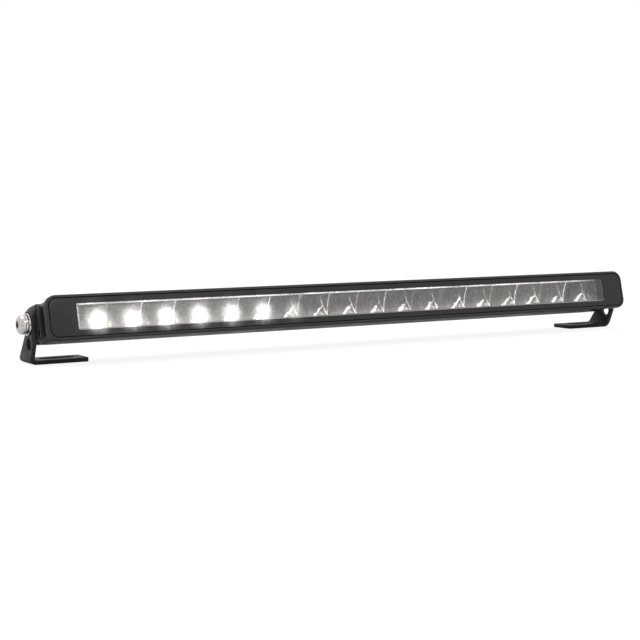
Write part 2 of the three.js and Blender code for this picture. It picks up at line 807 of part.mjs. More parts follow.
const shell = new THREE.Group();
shell.add(frontFrame(), ...lensPieces(), bodyGasket(), ledBoard(), ...driverPieces(), heatSink());
for (let i = 0; i < cellCount / cellsPerReflector; i += 1) {
  shell.add(reflector(i));
}
for (let i = 0; i < cellCount; i += 1) {
  shell.add(led(i));
}
for (const side of [-1, 1]) {
  shell.add(endCap(side), capGasket(side), ...capScrews(side), ...pivotPieces(side));
}
shell.add(cableGland(), glandNut(), breatherVent());
shell.position.y = -pivotDepth;

const lamp = new THREE.Group();
lamp.add(shell);
lamp.position.z = pivotHeight;
lamp.rotation.x = -tiltAngle;

const lightBar = new THREE.Group();
lightBar.add(lamp, bracket(-1), bracket(1));
lightBar.updateMatrixWorld(true);
const extent = new THREE.Box3().setFromObject(lightBar, true);
lightBar.position.y = -(extent.min.y + extent.max.y) / 2;

export default lightBar;
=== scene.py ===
"""Looks for the LED light bar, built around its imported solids.

Metres, +Z up, +X along the bar, the light shines towards -Y. The lamp is modelled upright,
as (x, depth behind the front edge, height over the centre line), and the LAMP matrix turns it
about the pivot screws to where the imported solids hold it.
"""
import json
import math

import bmesh
import bpy
from mathutils import Matrix, Vector


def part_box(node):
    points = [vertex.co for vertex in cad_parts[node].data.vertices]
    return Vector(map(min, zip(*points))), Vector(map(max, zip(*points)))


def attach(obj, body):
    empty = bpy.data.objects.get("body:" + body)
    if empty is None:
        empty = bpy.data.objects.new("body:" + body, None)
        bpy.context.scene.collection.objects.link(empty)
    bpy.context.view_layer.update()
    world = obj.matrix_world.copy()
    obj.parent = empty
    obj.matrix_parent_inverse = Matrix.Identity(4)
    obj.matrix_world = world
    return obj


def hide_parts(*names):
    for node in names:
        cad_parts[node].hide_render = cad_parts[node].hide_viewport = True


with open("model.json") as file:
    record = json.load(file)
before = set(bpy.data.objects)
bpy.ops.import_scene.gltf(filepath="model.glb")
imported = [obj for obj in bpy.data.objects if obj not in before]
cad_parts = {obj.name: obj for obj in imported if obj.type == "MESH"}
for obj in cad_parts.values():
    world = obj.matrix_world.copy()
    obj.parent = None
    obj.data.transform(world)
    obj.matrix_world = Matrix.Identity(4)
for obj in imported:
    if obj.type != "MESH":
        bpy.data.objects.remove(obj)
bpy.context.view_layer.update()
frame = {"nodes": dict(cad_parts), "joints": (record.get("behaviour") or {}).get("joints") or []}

# ------------------------------------------------------------------ sizes

MM = 0.001
TILT = math.radians(13.4)           # how far the lamp's face looks up
CELLS = 18
CELLS_PER_REFLECTOR = 6
LIT_CELLS = 6                       # cells at the left end that glow brightly; the other LEDs are painted dim and darker
TINY = 1e-7                         # shorter than any edge, in metres
SEAM_GAP = 1e-6                     # points closer than this are one point
RING_STEPS = 12                     # steps round each corner of the frame, border and lens
SHARPEST_CORNER = 0.2 * MM

# ------------------------------------------------------------------ the lamp's own frame


def pivot_point():
    joint = next(j for j in frame["joints"] if j["name"] == "lamp_tilt")
    return Vector((0, joint["pos_m"][1], joint["pos_m"][2]))


PIVOT = pivot_point()
TURN = Matrix.Rotation(-TILT, 4, "X")


def untilted(node):
    """Lowest and highest corner of a CAD node, turned back upright about the pivot."""
    back = TURN.inverted() @ Matrix.Translation(-PIVOT)
    points = [back @ vertex.co for vertex in frame["nodes"][node].data.vertices]
    low = Vector(min(p[i] for p in points) for i in range(3))
    high = Vector(max(p[i] for p in points) for i in range(3))
    return low, high


FRONT_EDGE = untilted("front_frame")[0].y
LAMP = Matrix.Translation(PIVOT) @ TURN @ Matrix.Translation((0, FRONT_EDGE, 0))


def lamp_box(node):
    """A CAD node's box in the lamp's own frame: x, depth behind the front edge, height."""
    low, high = untilted(node)
    shift = Vector((0, FRONT_EDGE, 0))
    return low - shift, high - shift


# ------------------------------------------------------------------ mesh helpers


def linked(name, data):
    """A new object with this data, linked to the scene."""
    piece = bpy.data.objects.new(name, data)
    bpy.context.scene.collection.objects.link(piece)
    return piece


def finished_object(name, mesh, body, replaced, material, smooth_angle=40):
    """Links a mesh as a piece that rides on a body and stands for CAD nodes."""
    piece = linked(name, mesh)
    mesh.materials.clear()
    mesh.materials.append(material)
    mesh.shade_smooth()
    mesh.set_sharp_from_angle(angle=math.radians(smooth_angle))
    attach(piece, body)
    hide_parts(*replaced)


def plain_mesh(name, bm):
    """Turns a bmesh into mesh data and frees it."""
    mesh = bpy.data.meshes.new(name)
    bm.to_mesh(mesh)
    bm.free()
    return mesh


def outward_mesh(name, bm):
    """Mesh data whose faces point outwards."""
    bmesh.ops.recalc_face_normals(bm, faces=bm.faces)
    return plain_mesh(name, bm)


def mesh_from(name, bm, place=None):
    """Closes seams, points the faces outwards and places the mesh in the row frame."""
    bmesh.ops.remove_doubles(bm, verts=bm.verts, dist=SEAM_GAP)
    mesh = outward_mesh(name, bm)
    if place is not None:
        mesh.transform(place)
    return mesh


def rounded_loop(half_x, half_z, radius, steps=8):
    """Points of a rounded rectangle as (x, height), anticlockwise seen from the front."""
    r = min(radius, half_x, half_z)
    points = []
    for quarter in range(4):
        cx = (half_x - r) * (1 if quarter in (0, 3) else -1)
        cz = (half_z - r) * (1 if quarter in (0, 1) else -1)
        for i in range(steps + 1):
            angle = (quarter + i / steps) * math.pi / 2
            points.append((cx + r * math.cos(angle), cz + r * math.sin(angle)))
    return points


def bridge(bm, rings, closed):
    """Joins rings of equally many vertices with quads."""
    pairs = list(zip(rings, rings[1:]))
    if closed:
        pairs.append((rings[-1], rings[0]))
    for a, b in pairs:
        for i in range(len(a)):
            j = (i + 1) % len(a)
            bm.faces.new((a[i], a[j], b[j], b[i]))


def capped_tube(bm, rings):
    """Joins rings into a tube and closes both of its ends."""
    bridge(bm, rings, closed=False)
    bm.faces.new(rings[0])
    bm.faces.new(rings[-1])


def ring_at(bm, half_x, half_z, radius, depth):
    """A rounded rectangle of new points, all at one depth."""
    loop = rounded_loop(half_x, half_z, radius, RING_STEPS)
    return [bm.verts.new((x, depth, z)) for x, z in loop]


def swept_frame(name, profile, half_x, half_z, radius):
    """A closed profile of (inset at the ends, inset above and below, depth), swept round a
    rounded rectangle."""
    bm = bmesh.new()
    rings = []
    for inset_x, inset_z, depth in profile:
        corner = max(radius - min(inset_x, inset_z), SHARPEST_CORNER)
        rings.append(ring_at(bm, half_x - inset_x, half_z - inset_z, corner, depth))
    bridge(bm, rings, closed=True)
    return mesh_from(name, bm, LAMP)


def circle(radius, steps):
    """Points round a full circle, as (across, up)."""
    turns = [2 * math.pi * i / steps for i in range(steps)]
    return [(radius * math.cos(turn), radius * math.sin(turn)) for turn in turns]


def arc(cx, cy, rx, ry, start, end, steps):
    """Points of an elliptic arc, angles in degrees."""
    points = []
    for i in range(steps + 1):
        angle = math.radians(start + (end - start) * i / steps)
        points.append((cx + rx * math.cos(angle), cy + ry * math.sin(angle)))
    return points


def lathe(bm, profile, origin, axis, steps):
    """Turns (radius, distance) points about an axis through origin. Radius 0 closes."""
    axis = Vector(axis).normalized()
    side = axis.orthogonal().normalized()
    up = axis.cross(side)
    rings = []
    for radius, distance in profile:
        centre = Vector(origin) + axis * distance
        if radius < TINY:
            rings.append([bm.verts.new(centre)])
            continue
        ring = []
        for i in range(steps):
            angle = 2 * math.pi * i / steps
            offset = side * math.cos(angle) + up * math.sin(angle)
            ring.append(bm.verts.new(centre + offset * radius))
        rings.append(ring)
    for a, b in zip(rings, rings[1:]):
        for i in range(steps):
            j = (i + 1) % steps
            corners = [a[i % len(a)], a[j % len(a)], b[j % len(b)], b[i % len(b)]]
            bm.faces.new(list(dict.fromkeys(corners)))
    return rings


def solid_block(bm, low, high):
    """A closed box between two corners."""
    corners = [bm.verts.new((x, y, z)) for x in (low[0], high[0])
               for y in (low[1], high[1]) for z in (low[2], high[2])]
    for a, b, c, d in ((0, 1, 3, 2), (4, 6, 7, 5), (0, 4, 5, 1),
                       (2, 3, 7, 6), (0, 2, 6, 4), (1, 5, 7, 3)):
        bm.faces.new((corners[a], corners[b], corners[c], corners[d]))


def prism(bm, outline, direction):
    """Extrudes a closed outline of points along a vector, with both ends capped."""
    near = [bm.verts.new(p) for p in outline]
    far = [bm.verts.new(Vector(p) + Vector(direction)) for p in outline]
    capped_tube(bm, [near, far])


def temporary(name, bm):
    """An object that only lends its shape, made from a bmesh."""
    return linked(name, outward_mesh(name, bm))


def evaluated_mesh(piece, name):
    """The mesh that an object's modifiers leave, as plain data. The object goes."""
    depsgraph = bpy.context.evaluated_depsgraph_get()
    mesh = bpy.data.meshes.new_from_object(piece.evaluated_get(depsgraph))
    mesh.name = name
    bpy.data.objects.remove(piece)
    return mesh


def carved(name, body, tools=(), bevel=0, segments=2, keep=None, add=None):
    """Joins `add` to a body, keeps what lies in `keep`, cuts the tools, rounds the edges."""
    piece = temporary(name, body)
    helpers = []
    steps = [(add, "UNION")] if add else []
    steps += [(keep, "INTERSECT")] if keep else []
    steps += [(tool, "DIFFERENCE") for tool in tools]
    for tool, operation in steps:
        helper = temporary(name + "_cutter", tool)
        helpers.append(helper)
        modifier = piece.modifiers.new("cut", "BOOLEAN")
        modifier.object = helper
        modifier.operation = operation
        modifier.solver = "EXACT"
    if bevel:
        rounding = piece.modifiers.new("edges", "BEVEL")
        rounding.width = bevel
        rounding.segments = segments
        rounding.limit_method = "ANGLE"
        rounding.angle_limit = math.radians(40)
        rounding.use_clamp_overlap = True
    mesh = evaluated_mesh(piece, name)
    for helper in helpers:
        bpy.data.objects.remove(helper)
    return mesh


# ------------------------------------------------------------------ material helpers


class Nodes:
    """A small helper that adds and joins the nodes of one tree."""

    def __init__(self, tree):
        self.tree = tree
        self.tree.nodes.clear()

    def add(self, kind, **settings):
        node = self.tree.nodes.new(kind)
        for key, value in settings.items():
            setattr(node, key, value)
        return node

    def join(self, source, target):
        self.tree.links.new(source, target)

    def math(self, operation, a, b=0.0, c=0.0):
        node = self.add("ShaderNodeMath", operation=operation)
        for socket, value in zip(node.inputs, (a, b, c)):
            if isinstance(value, (int, float)):
                socket.default_value = value
            else:
                self.join(value, socket)
        return node.outputs[0]

    def noise(self, vector, scale, detail=4.0, roughness=0.5):
        node = self.add("ShaderNodeTexNoise")
        self.join(vector, node.inputs["Vector"])
        node.inputs["Scale"].default_value = scale
        node.inputs["Detail"].default_value = detail
        node.inputs["Roughness"].default_value = roughness
        return node.outputs["Fac"]

    def ramp(self, factor, low, high, from_min=0.0, from_max=1.0):
        node = self.add("ShaderNodeMapRange")
        self.join(factor, node.inputs["Value"])
        for key, value in (("From Min", from_min), ("From Max", from_max),
                           ("To Min", low), ("To Max", high)):
            if isinstance(value, (int, float)):
                node.inputs[key].default_value = value
            else:
                self.join(value, node.inputs[key])
        return node.outputs["Result"]

    def blend(self, factor, a, b):
        node = self.add("ShaderNodeMix", data_type="RGBA")
        for socket, value in ((node.inputs["Factor"], factor),
                              (node.inputs["A"], a), (node.inputs["B"], b)):
            if isinstance(value, (int, float, tuple)):
                socket.default_value = value
            else:
                self.join(value, socket)
        return node.outputs["Result"]

    def scaled(self, vector, x, y, z):
        node = self.add("ShaderNodeMapping")
        self.join(vector, node.inputs["Vector"])
        node.inputs["Scale"].default_value = (x, y, z)
        return node.outputs["Vector"]


def new_group(name, inputs, outputs):
    """An empty shader node group with named inputs and outputs."""
    tree = bpy.data.node_groups.new(name, "ShaderNodeTree")
    for label, kind, value in inputs:
        socket = tree.interface.new_socket(label, in_out="INPUT", socket_type=kind)
        if value is not None:
            socket.default_value = value
    for label, kind in outputs:
        tree.interface.new_socket(label, in_out="OUTPUT", socket_type=kind)
    nodes = Nodes(tree)
    return nodes, nodes.add("NodeGroupInput"), nodes.add("NodeGroupOutput")


def build_coating_group():
    """Powder coat: fine orange peel, a little dust and worn edges, in one group."""
    nodes, given, result = new_group(
        "satin_coating",
        [("Vector", "NodeSocketVector", None), ("Colour", "NodeSocketColor", (0.03, 0.03, 0.03, 1)),
         ("Worn Colour", "NodeSocketColor", (0.2, 0.2, 0.2, 1)),
         ("Roughness", "NodeSocketFloat", 0.4), ("Wear", "NodeSocketFloat", 0.2),
         ("Grain Scale", "NodeSocketFloat", 1800.0)],
        [("Colour", "NodeSocketColor"), ("Roughness", "NodeSocketFloat"),
         ("Height", "NodeSocketFloat")])
    grain = nodes.add("ShaderNodeTexNoise")
    nodes.join(given.outputs["Vector"], grain.inputs["Vector"])
    nodes.join(given.outputs["Grain Scale"], grain.inputs["Scale"])
    grain.inputs["Detail"].default_value = 3.0
    cloud = nodes.noise(given.outputs["Vector"], 45.0, 5.0, 0.6)
    speck = nodes.noise(given.outputs["Vector"], 900.0, 2.0, 0.7)
    edge = nodes.add("ShaderNodeNewGeometry").outputs["Pointiness"]
    edge_mask = nodes.ramp(edge, 0.0, 1.0, 0.52, 0.62)
    edge_mask = nodes.math("MULTIPLY", edge_mask, given.outputs["Wear"])
    edge_mask = nodes.math("MULTIPLY", edge_mask, nodes.ramp(cloud, 0.2, 1.6, 0.35, 0.7))
    dust = nodes.math("MULTIPLY", nodes.ramp(speck, 0.0, 1.0, 0.68, 0.8), 0.12)
    lighten = nodes.math("ADD", edge_mask, dust)
    lighten = nodes.math("MINIMUM", lighten, 1.0)
    mixed = nodes.blend(lighten, given.outputs["Colour"], given.outputs["Worn Colour"])
    nodes.join(mixed, result.inputs["Colour"])
    vary = nodes.ramp(cloud, -0.06, 0.06, 0.3, 0.7)
    rough = nodes.math("ADD", given.outputs["Roughness"], vary)
    rough = nodes.math("ADD", rough, nodes.ramp(grain.outputs["Fac"], -0.05, 0.05, 0.3, 0.7))
    nodes.join(rough, result.inputs["Roughness"])
    height = nodes.math("ADD", grain.outputs["Fac"], nodes.math("MULTIPLY", cloud, 0.4))
    nodes.join(height, result.inputs["Height"])
    return nodes.tree


def build_brushed_group():
    """Bare metal: drawn scratches along one direction with a few deeper ones."""
    nodes, given, result = new_group(
        "brushed_metal",
        [("Vector", "NodeSocketVector", None), ("Colour", "NodeSocketColor", (0.7, 0.7, 0.7, 1)),
         ("Dark Colour", "NodeSocketColor", (0.45, 0.45, 0.45, 1)),
         ("Roughness", "NodeSocketFloat", 0.2), ("Spread", "NodeSocketFloat", 0.1)],
        [("Colour", "NodeSocketColor"), ("Roughness", "NodeSocketFloat"),
         ("Height", "NodeSocketFloat")])
    fine = nodes.noise(given.outputs["Vector"], 1.0, 6.0, 0.65)
    cloud = nodes.noise(given.outputs["Vector"], 0.12, 3.0, 0.5)
    shade = nodes.math("MULTIPLY", nodes.ramp(fine, 0.0, 1.0, 0.3, 0.75), 0.7)
    shade = nodes.math("ADD", shade, nodes.ramp(cloud, 0.0, 0.3, 0.35, 0.7))
    nodes.join(nodes.blend(shade, given.outputs["Colour"], given.outputs["Dark Colour"]),
               result.inputs["Colour"])
    spread = nodes.math("MULTIPLY", nodes.ramp(fine, -1.0, 1.0, 0.3, 0.7),
                        given.outputs["Spread"])
    nodes.join(nodes.math("ADD", given.outputs["Roughness"], spread),
               result.inputs["Roughness"])
    nodes.join(fine, result.inputs["Height"])
    return nodes.tree


def build_glare_group(centres):
    """Light scattered in front of the lit cells, brightest at each LED's own place."""
    nodes, given, result = new_group(
        "cell_glare",
        [("Vector", "NodeSocketVector", None), ("Core Size", "NodeSocketFloat", 0.005),
         ("Halo Size", "NodeSocketFloat", 0.012), ("Halo", "NodeSocketFloat", 0.1)],
        [("Glare", "NodeSocketFloat"), ("Tint", "NodeSocketColor")])
    ragged = nodes.noise(given.outputs["Vector"], 260.0, 4.0, 0.65)
    ragged = nodes.math("MULTIPLY", nodes.math("SUBTRACT", ragged, 0.5), 6.0 * MM)
    total = None
    for place, strength in centres:
        offset = nodes.add("ShaderNodeVectorMath", operation="DISTANCE")
        nodes.join(given.outputs["Vector"], offset.inputs[0])
        offset.inputs[1].default_value = place
        away = nodes.math("MAXIMUM", nodes.math("ADD", offset.outputs["Value"], ragged), 0.0)
        core = nodes.math("DIVIDE", away, given.outputs["Core Size"])
        core = nodes.math("EXPONENT", nodes.math("MULTIPLY", nodes.math("POWER", core, 2.0), -1.0))
        halo = nodes.math("DIVIDE", away, given.outputs["Halo Size"])
        halo = nodes.math("EXPONENT", nodes.math("MULTIPLY", halo, -1.0))
        one = nodes.math("MULTIPLY_ADD", halo, given.outputs["Halo"], core)
        one = nodes.math("MULTIPLY", one, strength)
        total = one if total is None else nodes.math("ADD", total, one)
    nodes.join(total, result.inputs["Glare"])
    tint = nodes.blend(nodes.math("MINIMUM", total, 1.0), (0.98, 1.0, 0.94, 1), (1, 1, 0.98, 1))
    nodes.join(tint, result.inputs["Tint"])
    return nodes.tree


def new_material(name):
    material = bpy.data.materials.new(name)
    material.use_nodes = True
    nodes = Nodes(material.node_tree)
    output = nodes.add("ShaderNodeOutputMaterial")
    shader = nodes.add("ShaderNodeBsdfPrincipled")
    nodes.join(shader.outputs[0], output.inputs["Surface"])
    place = nodes.add("ShaderNodeTexCoord").outputs["Object"]
    return material, nodes, shader, output, place


def placed_group(nodes, tree, vector, **values):
    node = nodes.add("ShaderNodeGroup", node_tree=tree)
    nodes.join(vector, node.inputs["Vector"])
    for key, value in values.items():
        node.inputs[key.replace("_", " ")].default_value = value
    return node


def take_finish(nodes, shader, group, bump, bump_height):
    """Feeds a group's colour, roughness and height to the shader."""
    nodes.join(group.outputs["Colour"], shader.inputs["Base Color"])
    nodes.join(group.outputs["Roughness"], shader.inputs["Roughness"])
    bumped(nodes, shader, group.outputs["Height"], bump, bump_height)


def bumped(nodes, shader, height, strength, distance):
    bump = nodes.add("ShaderNodeBump")
    bump.inputs["Strength"].default_value = strength
    bump.inputs["Distance"].default_value = distance
    nodes.join(height, bump.inputs["Height"])
    nodes.join(bump.outputs["Normal"], shader.inputs["Normal"])


# ------------------------------------------------------------------ the lamp's cells

LED_LOW, LED_HIGH = lamp_box("led_01")
CELL_PITCH = lamp_box("led_02")[0].x - LED_LOW.x
LED_DEPTH = (LED_LOW.y + LED_HIGH.y) / 2
CELL_CENTRES = [(i + 0.5 - CELLS / 2) * CELL_PITCH for i in range(CELLS)]
GLARE_STRENGTHS = (1.35, 1.15, 1.15, 1.1, 1.0, 0.9, 0.22)   # lit cells, and a trace next door
GLARE_SHIFT = -1.0 * MM
GLARE_HEIGHT = -3.4 * MM


def glare_places():
    """Where the lit cells' light leaves the front, in the row frame, with its strength."""
    return [(tuple(LAMP @ Vector((x + GLARE_SHIFT, 0, GLARE_HEIGHT))), strength)
            for x, strength in zip(CELL_CENTRES, GLARE_STRENGTHS)]


# ------------------------------------------------------------------ materials

COATING = build_coating_group()
BRUSHED = build_brushed_group()
GLARE = build_glare_group(glare_places())
CLEAR_HALF_X = 242 * MM             # the lens is painted black and opaque beyond this, under the border, as shade for the gap beside it
CLEAR_HALF_Z = 10.5 * MM


def coated(name, colour, worn, roughness, wear, grain_scale, bump, bump_height, sheen=0.5):
    """Powder coat or moulded plastic, from the satin coating."""
    material, nodes, shader, _, place = new_material(name)
    coat = placed_group(nodes, COATING, place, Colour=colour, Worn_Colour=worn,
                        Roughness=roughness, Wear=wear, Grain_Scale=grain_scale)
    take_finish(nodes, shader, coat, bump, bump_height)
    shader.inputs["Specular IOR Level"].default_value = sheen
    return material


def moulded(name, colour, worn, roughness, grain_scale):
    return coated(name, colour, worn, roughness, 0.1, grain_scale, 0.3, 0.04 * MM)


def brushed(name, stretch, colour, dark, roughness, spread, metallic, bump, bump_height):
    """Bare or anodised metal, with scratches drawn out by the stretch."""
    material, nodes, shader, _, place = new_material(name)
    metal = placed_group(nodes, BRUSHED, nodes.scaled(place, *stretch), Colour=colour,
                         Dark_Colour=dark, Roughness=roughness, Spread=spread)
    take_finish(nodes, shader, metal, bump, bump_height)
    shader.inputs["Metallic"].default_value = metallic
    return material


def steel(name, colour, dark, roughness):
    return brushed(name, (500.0, 900.0, 900.0), colour, dark, roughness, 0.08, 1.0, 0.12,
                   0.02 * MM)


def border_gloss():
    """Printed black border under a gloss face, with the light of the lit cells on it."""
    material, nodes, shader, _, place = new_material("gloss_black_border")
    smear = nodes.noise(place, 38.0, 4.0, 0.55)
    speck = nodes.noise(place, 1400.0, 2.0, 0.6)
    shade = nodes.math("ADD", nodes.ramp(smear, 0.0, 0.5, 0.3, 0.7),
                       nodes.ramp(speck, 0.0, 0.4, 0.66, 0.8))
    nodes.join(nodes.blend(shade, (0.008, 0.0072, 0.0068, 1), (0.014, 0.0125, 0.0118, 1)),
               shader.inputs["Base Color"])
    nodes.join(nodes.ramp(smear, 0.05, 0.13, 0.25, 0.75), shader.inputs["Roughness"])
    shader.inputs["IOR"].default_value = 1.42
    bumped(nodes, shader, speck, 0.03, 0.01 * MM)
    light = placed_group(nodes, GLARE, place, Core_Size=0.0055, Halo_Size=0.0038, Halo=0.4)
    nodes.join(nodes.blend(nodes.math("MINIMUM", light.outputs["Glare"], 1.0), (0, 0, 0, 1),
                           light.outputs["Tint"]), shader.inputs["Emission Color"])
    shader.inputs["Emission Strength"].default_value = 0.9
    return material


def clear_lens():
    """Polished lens: it mirrors by Fresnel, glows where a lit cell shines through, and its
    edge under the border is painted black and opaque, as painted shade for the gap beside the
    border."""
    material, nodes, shader, output, place = new_material("clear_lens")
    smear = nodes.noise(place, 60.0, 4.0, 0.6)
    nodes.join(nodes.ramp(smear, 0.015, 0.06, 0.3, 0.7), shader.inputs["Roughness"])
    axes = lamp_axes(nodes, place)
    # painted shade: beyond the clear window the lens is black and opaque, so the gap between border
    # and frame looks dark
    above = nodes.math("GREATER_THAN", nodes.math("ABSOLUTE", axes.outputs["Z"]), CLEAR_HALF_Z)
    beside = nodes.math("GREATER_THAN", nodes.math("ABSOLUTE", axes.outputs["X"]), CLEAR_HALF_X)
    painted_gap_shade = nodes.math("MAXIMUM", above, beside)
    nodes.join(nodes.blend(painted_gap_shade, (0.9, 0.9, 0.9, 1), (0.012, 0.012, 0.012, 1)),
               shader.inputs["Base Color"])
    shader.inputs["Metallic"].default_value = 1.0
    light = placed_group(nodes, GLARE, place, Core_Size=0.0050, Halo_Size=0.0045, Halo=0.3)
    nodes.join(nodes.blend(painted_gap_shade, light.outputs["Tint"], (0, 0, 0, 1)),
               shader.inputs["Emission Color"])
    shader.inputs["Emission Strength"].default_value = 1.3
    fresnel = nodes.add("ShaderNodeFresnel")
    fresnel.inputs["IOR"].default_value = 1.45
    backs = nodes.add("ShaderNodeNewGeometry").outputs["Backfacing"]
    solid = nodes.math("MULTIPLY_ADD", light.outputs["Glare"], 0.95, fresnel.outputs[0])
    solid = nodes.math("MULTIPLY", nodes.math("MINIMUM", solid, 1.0),
                       nodes.math("SUBTRACT", 1.0, backs))
    solid = nodes.math("MAXIMUM", solid, painted_gap_shade)
    clear = nodes.add("ShaderNodeBsdfTransparent")
    clear.inputs["Color"].default_value = (0.96, 0.95, 0.95, 1)
    mixed = nodes.add("ShaderNodeMixShader")
    nodes.join(solid, mixed.inputs["Fac"])
    nodes.join(clear.outputs[0], mixed.inputs[1])
    nodes.join(shader.outputs[0], mixed.inputs[2])
    nodes.join(mixed.outputs[0], output.inputs["Surface"])
    return material


def lamp_axes(nodes, place):
    """Splits a place into the lamp's own length, depth and height, its tilt taken out."""
    upright = nodes.add("ShaderNodeMapping")
    nodes.join(place, upright.inputs["Vector"])
    back = LAMP.inverted()
    upright.inputs["Location"].default_value = back.to_translation()
    upright.inputs["Rotation"].default_value = back.to_euler()
    split = nodes.add("ShaderNodeSeparateXYZ")
    nodes.join(upright.outputs["Vector"], split.inputs["Vector"])
    return split


def segment_distance(nodes, point, start, end):
    """Distance from a point to a straight segment, and how far along it that is."""
    start, end = Vector(start), Vector(end)
    along = end - start
    away = nodes.add("ShaderNodeVectorMath", operation="SUBTRACT")
    nodes.join(point, away.inputs[0])
    away.inputs[1].default_value = start
    dot = nodes.add("ShaderNodeVectorMath", operation="DOT_PRODUCT")
    nodes.join(away.outputs["Vector"], dot.inputs[0])
    dot.inputs[1].default_value = along / along.length_squared
    share = nodes.math("MINIMUM", nodes.math("MAXIMUM", dot.outputs["Value"], 0.0), 1.0)
    reach = nodes.add("ShaderNodeVectorMath", operation="SCALE")
    reach.inputs[0].default_value = along
    nodes.join(share, reach.inputs["Scale"])
    gap = nodes.add("ShaderNodeVectorMath", operation="DISTANCE")
    nodes.join(away.outputs["Vector"], gap.inputs[0])
    nodes.join(reach.outputs["Vector"], gap.inputs[1])
    return gap.outputs["Value"], share


def build_highlight_group():
    """Painted highlights and reflections on each bowl: a forked patch near the ridge, a thin seam
    up to the roof, glints along the polished ridges and on the roof's front lip."""
    nodes, given, result = new_group(
        "bowl_highlights",
        [("Vector", "NodeSocketVector", None), ("Lip Height", "NodeSocketFloat", 0.0095),
         ("Lip Depth", "NodeSocketFloat", 0.009),
         ("Ridge Width", "NodeSocketFloat", 0.0004)],
        [("Mask", "NodeSocketFloat"), ("Grain", "NodeSocketFloat")])
    split = lamp_axes(nodes, given.outputs["Vector"])
    x, height = split.outputs["X"], split.outputs["Z"]
    cell = nodes.math("MULTIPLY_ADD", x, 1 / CELL_PITCH, CELLS / 2)
    across = nodes.math("SUBTRACT", nodes.math("FRACT", cell), 0.5)
    across = nodes.math("MULTIPLY", across, CELL_PITCH)
    chance = nodes.add("ShaderNodeTexWhiteNoise", noise_dimensions="1D")
    nodes.join(nodes.math("ROUND", cell), chance.inputs["W"])
    flat = nodes.add("ShaderNodeCombineXYZ")
    nodes.join(across, flat.inputs["X"])
    nodes.join(height, flat.inputs["Z"])
    # grain breaks the painted highlights into sparkle
    grain = nodes.noise(given.outputs["Vector"], 520.0, 3.0, 0.7)
    broad = nodes.noise(given.outputs["Vector"], 210.0, 3.0, 0.6)
    rough_edge = nodes.math("MULTIPLY", nodes.math("SUBTRACT", broad, 0.5), 5.0 * MM)

    # painted highlight: the forked patch and the seam up to the roof, drawn as strokes
    apex = (9.9 * MM, 0, 1.9 * MM)
    strokes = [(apex, (4.2 * MM, 0, -5.2 * MM), 0.5 * MM, 1.9 * MM, 1.2, 0.9),
               (apex, (12.9 * MM, 0, -5.2 * MM), 0.3 * MM, 0.6 * MM, 0.3, 0.95),
               ((6.4 * MM, 0, 9 * MM), apex, 0.2 * MM, 0.5 * MM, 0.2, 0.6)]
    total = None
    for start, end, thin, thick, ragged, strength in strokes:
        distance, share = segment_distance(nodes, flat.outputs["Vector"], start, end)
        width = nodes.ramp(share, thin, thick)
        width = nodes.math("ADD", width, nodes.math("MULTIPLY", rough_edge, ragged))
        edge = nodes.math("DIVIDE", nodes.math("SUBTRACT", width, distance), 0.5 * MM)
        edge = nodes.math("MINIMUM", nodes.math("MAXIMUM", edge, 0.0), 1.0)
        edge = nodes.math("MULTIPLY", edge, strength)
        total = edge if total is None else nodes.math("MAXIMUM", total, edge)

    inside = nodes.math("LESS_THAN", nodes.math("ABSOLUTE", x), CELLS * CELL_PITCH / 2 - MM)
    total = nodes.math("MULTIPLY", total, inside)

    # painted glint along the ridges between bowls, brighter in some cells than in others
    ridge = nodes.math("SUBTRACT", CELL_PITCH / 2, nodes.math("ABSOLUTE", across))
    ridge = nodes.math("LESS_THAN", ridge, given.outputs["Ridge Width"])
    shine = nodes.ramp(chance.outputs["Value"], 0.06, 0.95, 0.35, 0.85)
    fade = nodes.ramp(broad, 0.45, 1.0, 0.35, 0.6)
    ridge = nodes.math("MULTIPLY", ridge, nodes.math("MULTIPLY", shine, fade))
    total = nodes.math("MAXIMUM", total, ridge)

    # painted highlight along the roof's front lip, fading towards the ends
    lip = nodes.math("GREATER_THAN", height, given.outputs["Lip Height"])
    lip = nodes.math("MULTIPLY", lip, nodes.math("LESS_THAN", split.outputs["Y"],
                                                 given.outputs["Lip Depth"]))
    long_fade = nodes.noise(nodes.scaled(given.outputs["Vector"], 1.0, 0.0, 0.0), 26.0, 2.0, 0.5)
    lip = nodes.math("MULTIPLY", lip, nodes.ramp(long_fade, 0.45, 1.0, 0.4, 0.58))
    end_fade = nodes.ramp(x, 1.0, 0.25, 195 * MM, 232 * MM)
    lip = nodes.math("MULTIPLY", lip, end_fade)
    total = nodes.math("MAXIMUM", total, lip)
    nodes.join(total, result.inputs["Mask"])
    nodes.join(grain, result.inputs["Grain"])
    return nodes.tree


HIGHLIGHTS = build_highlight_group()


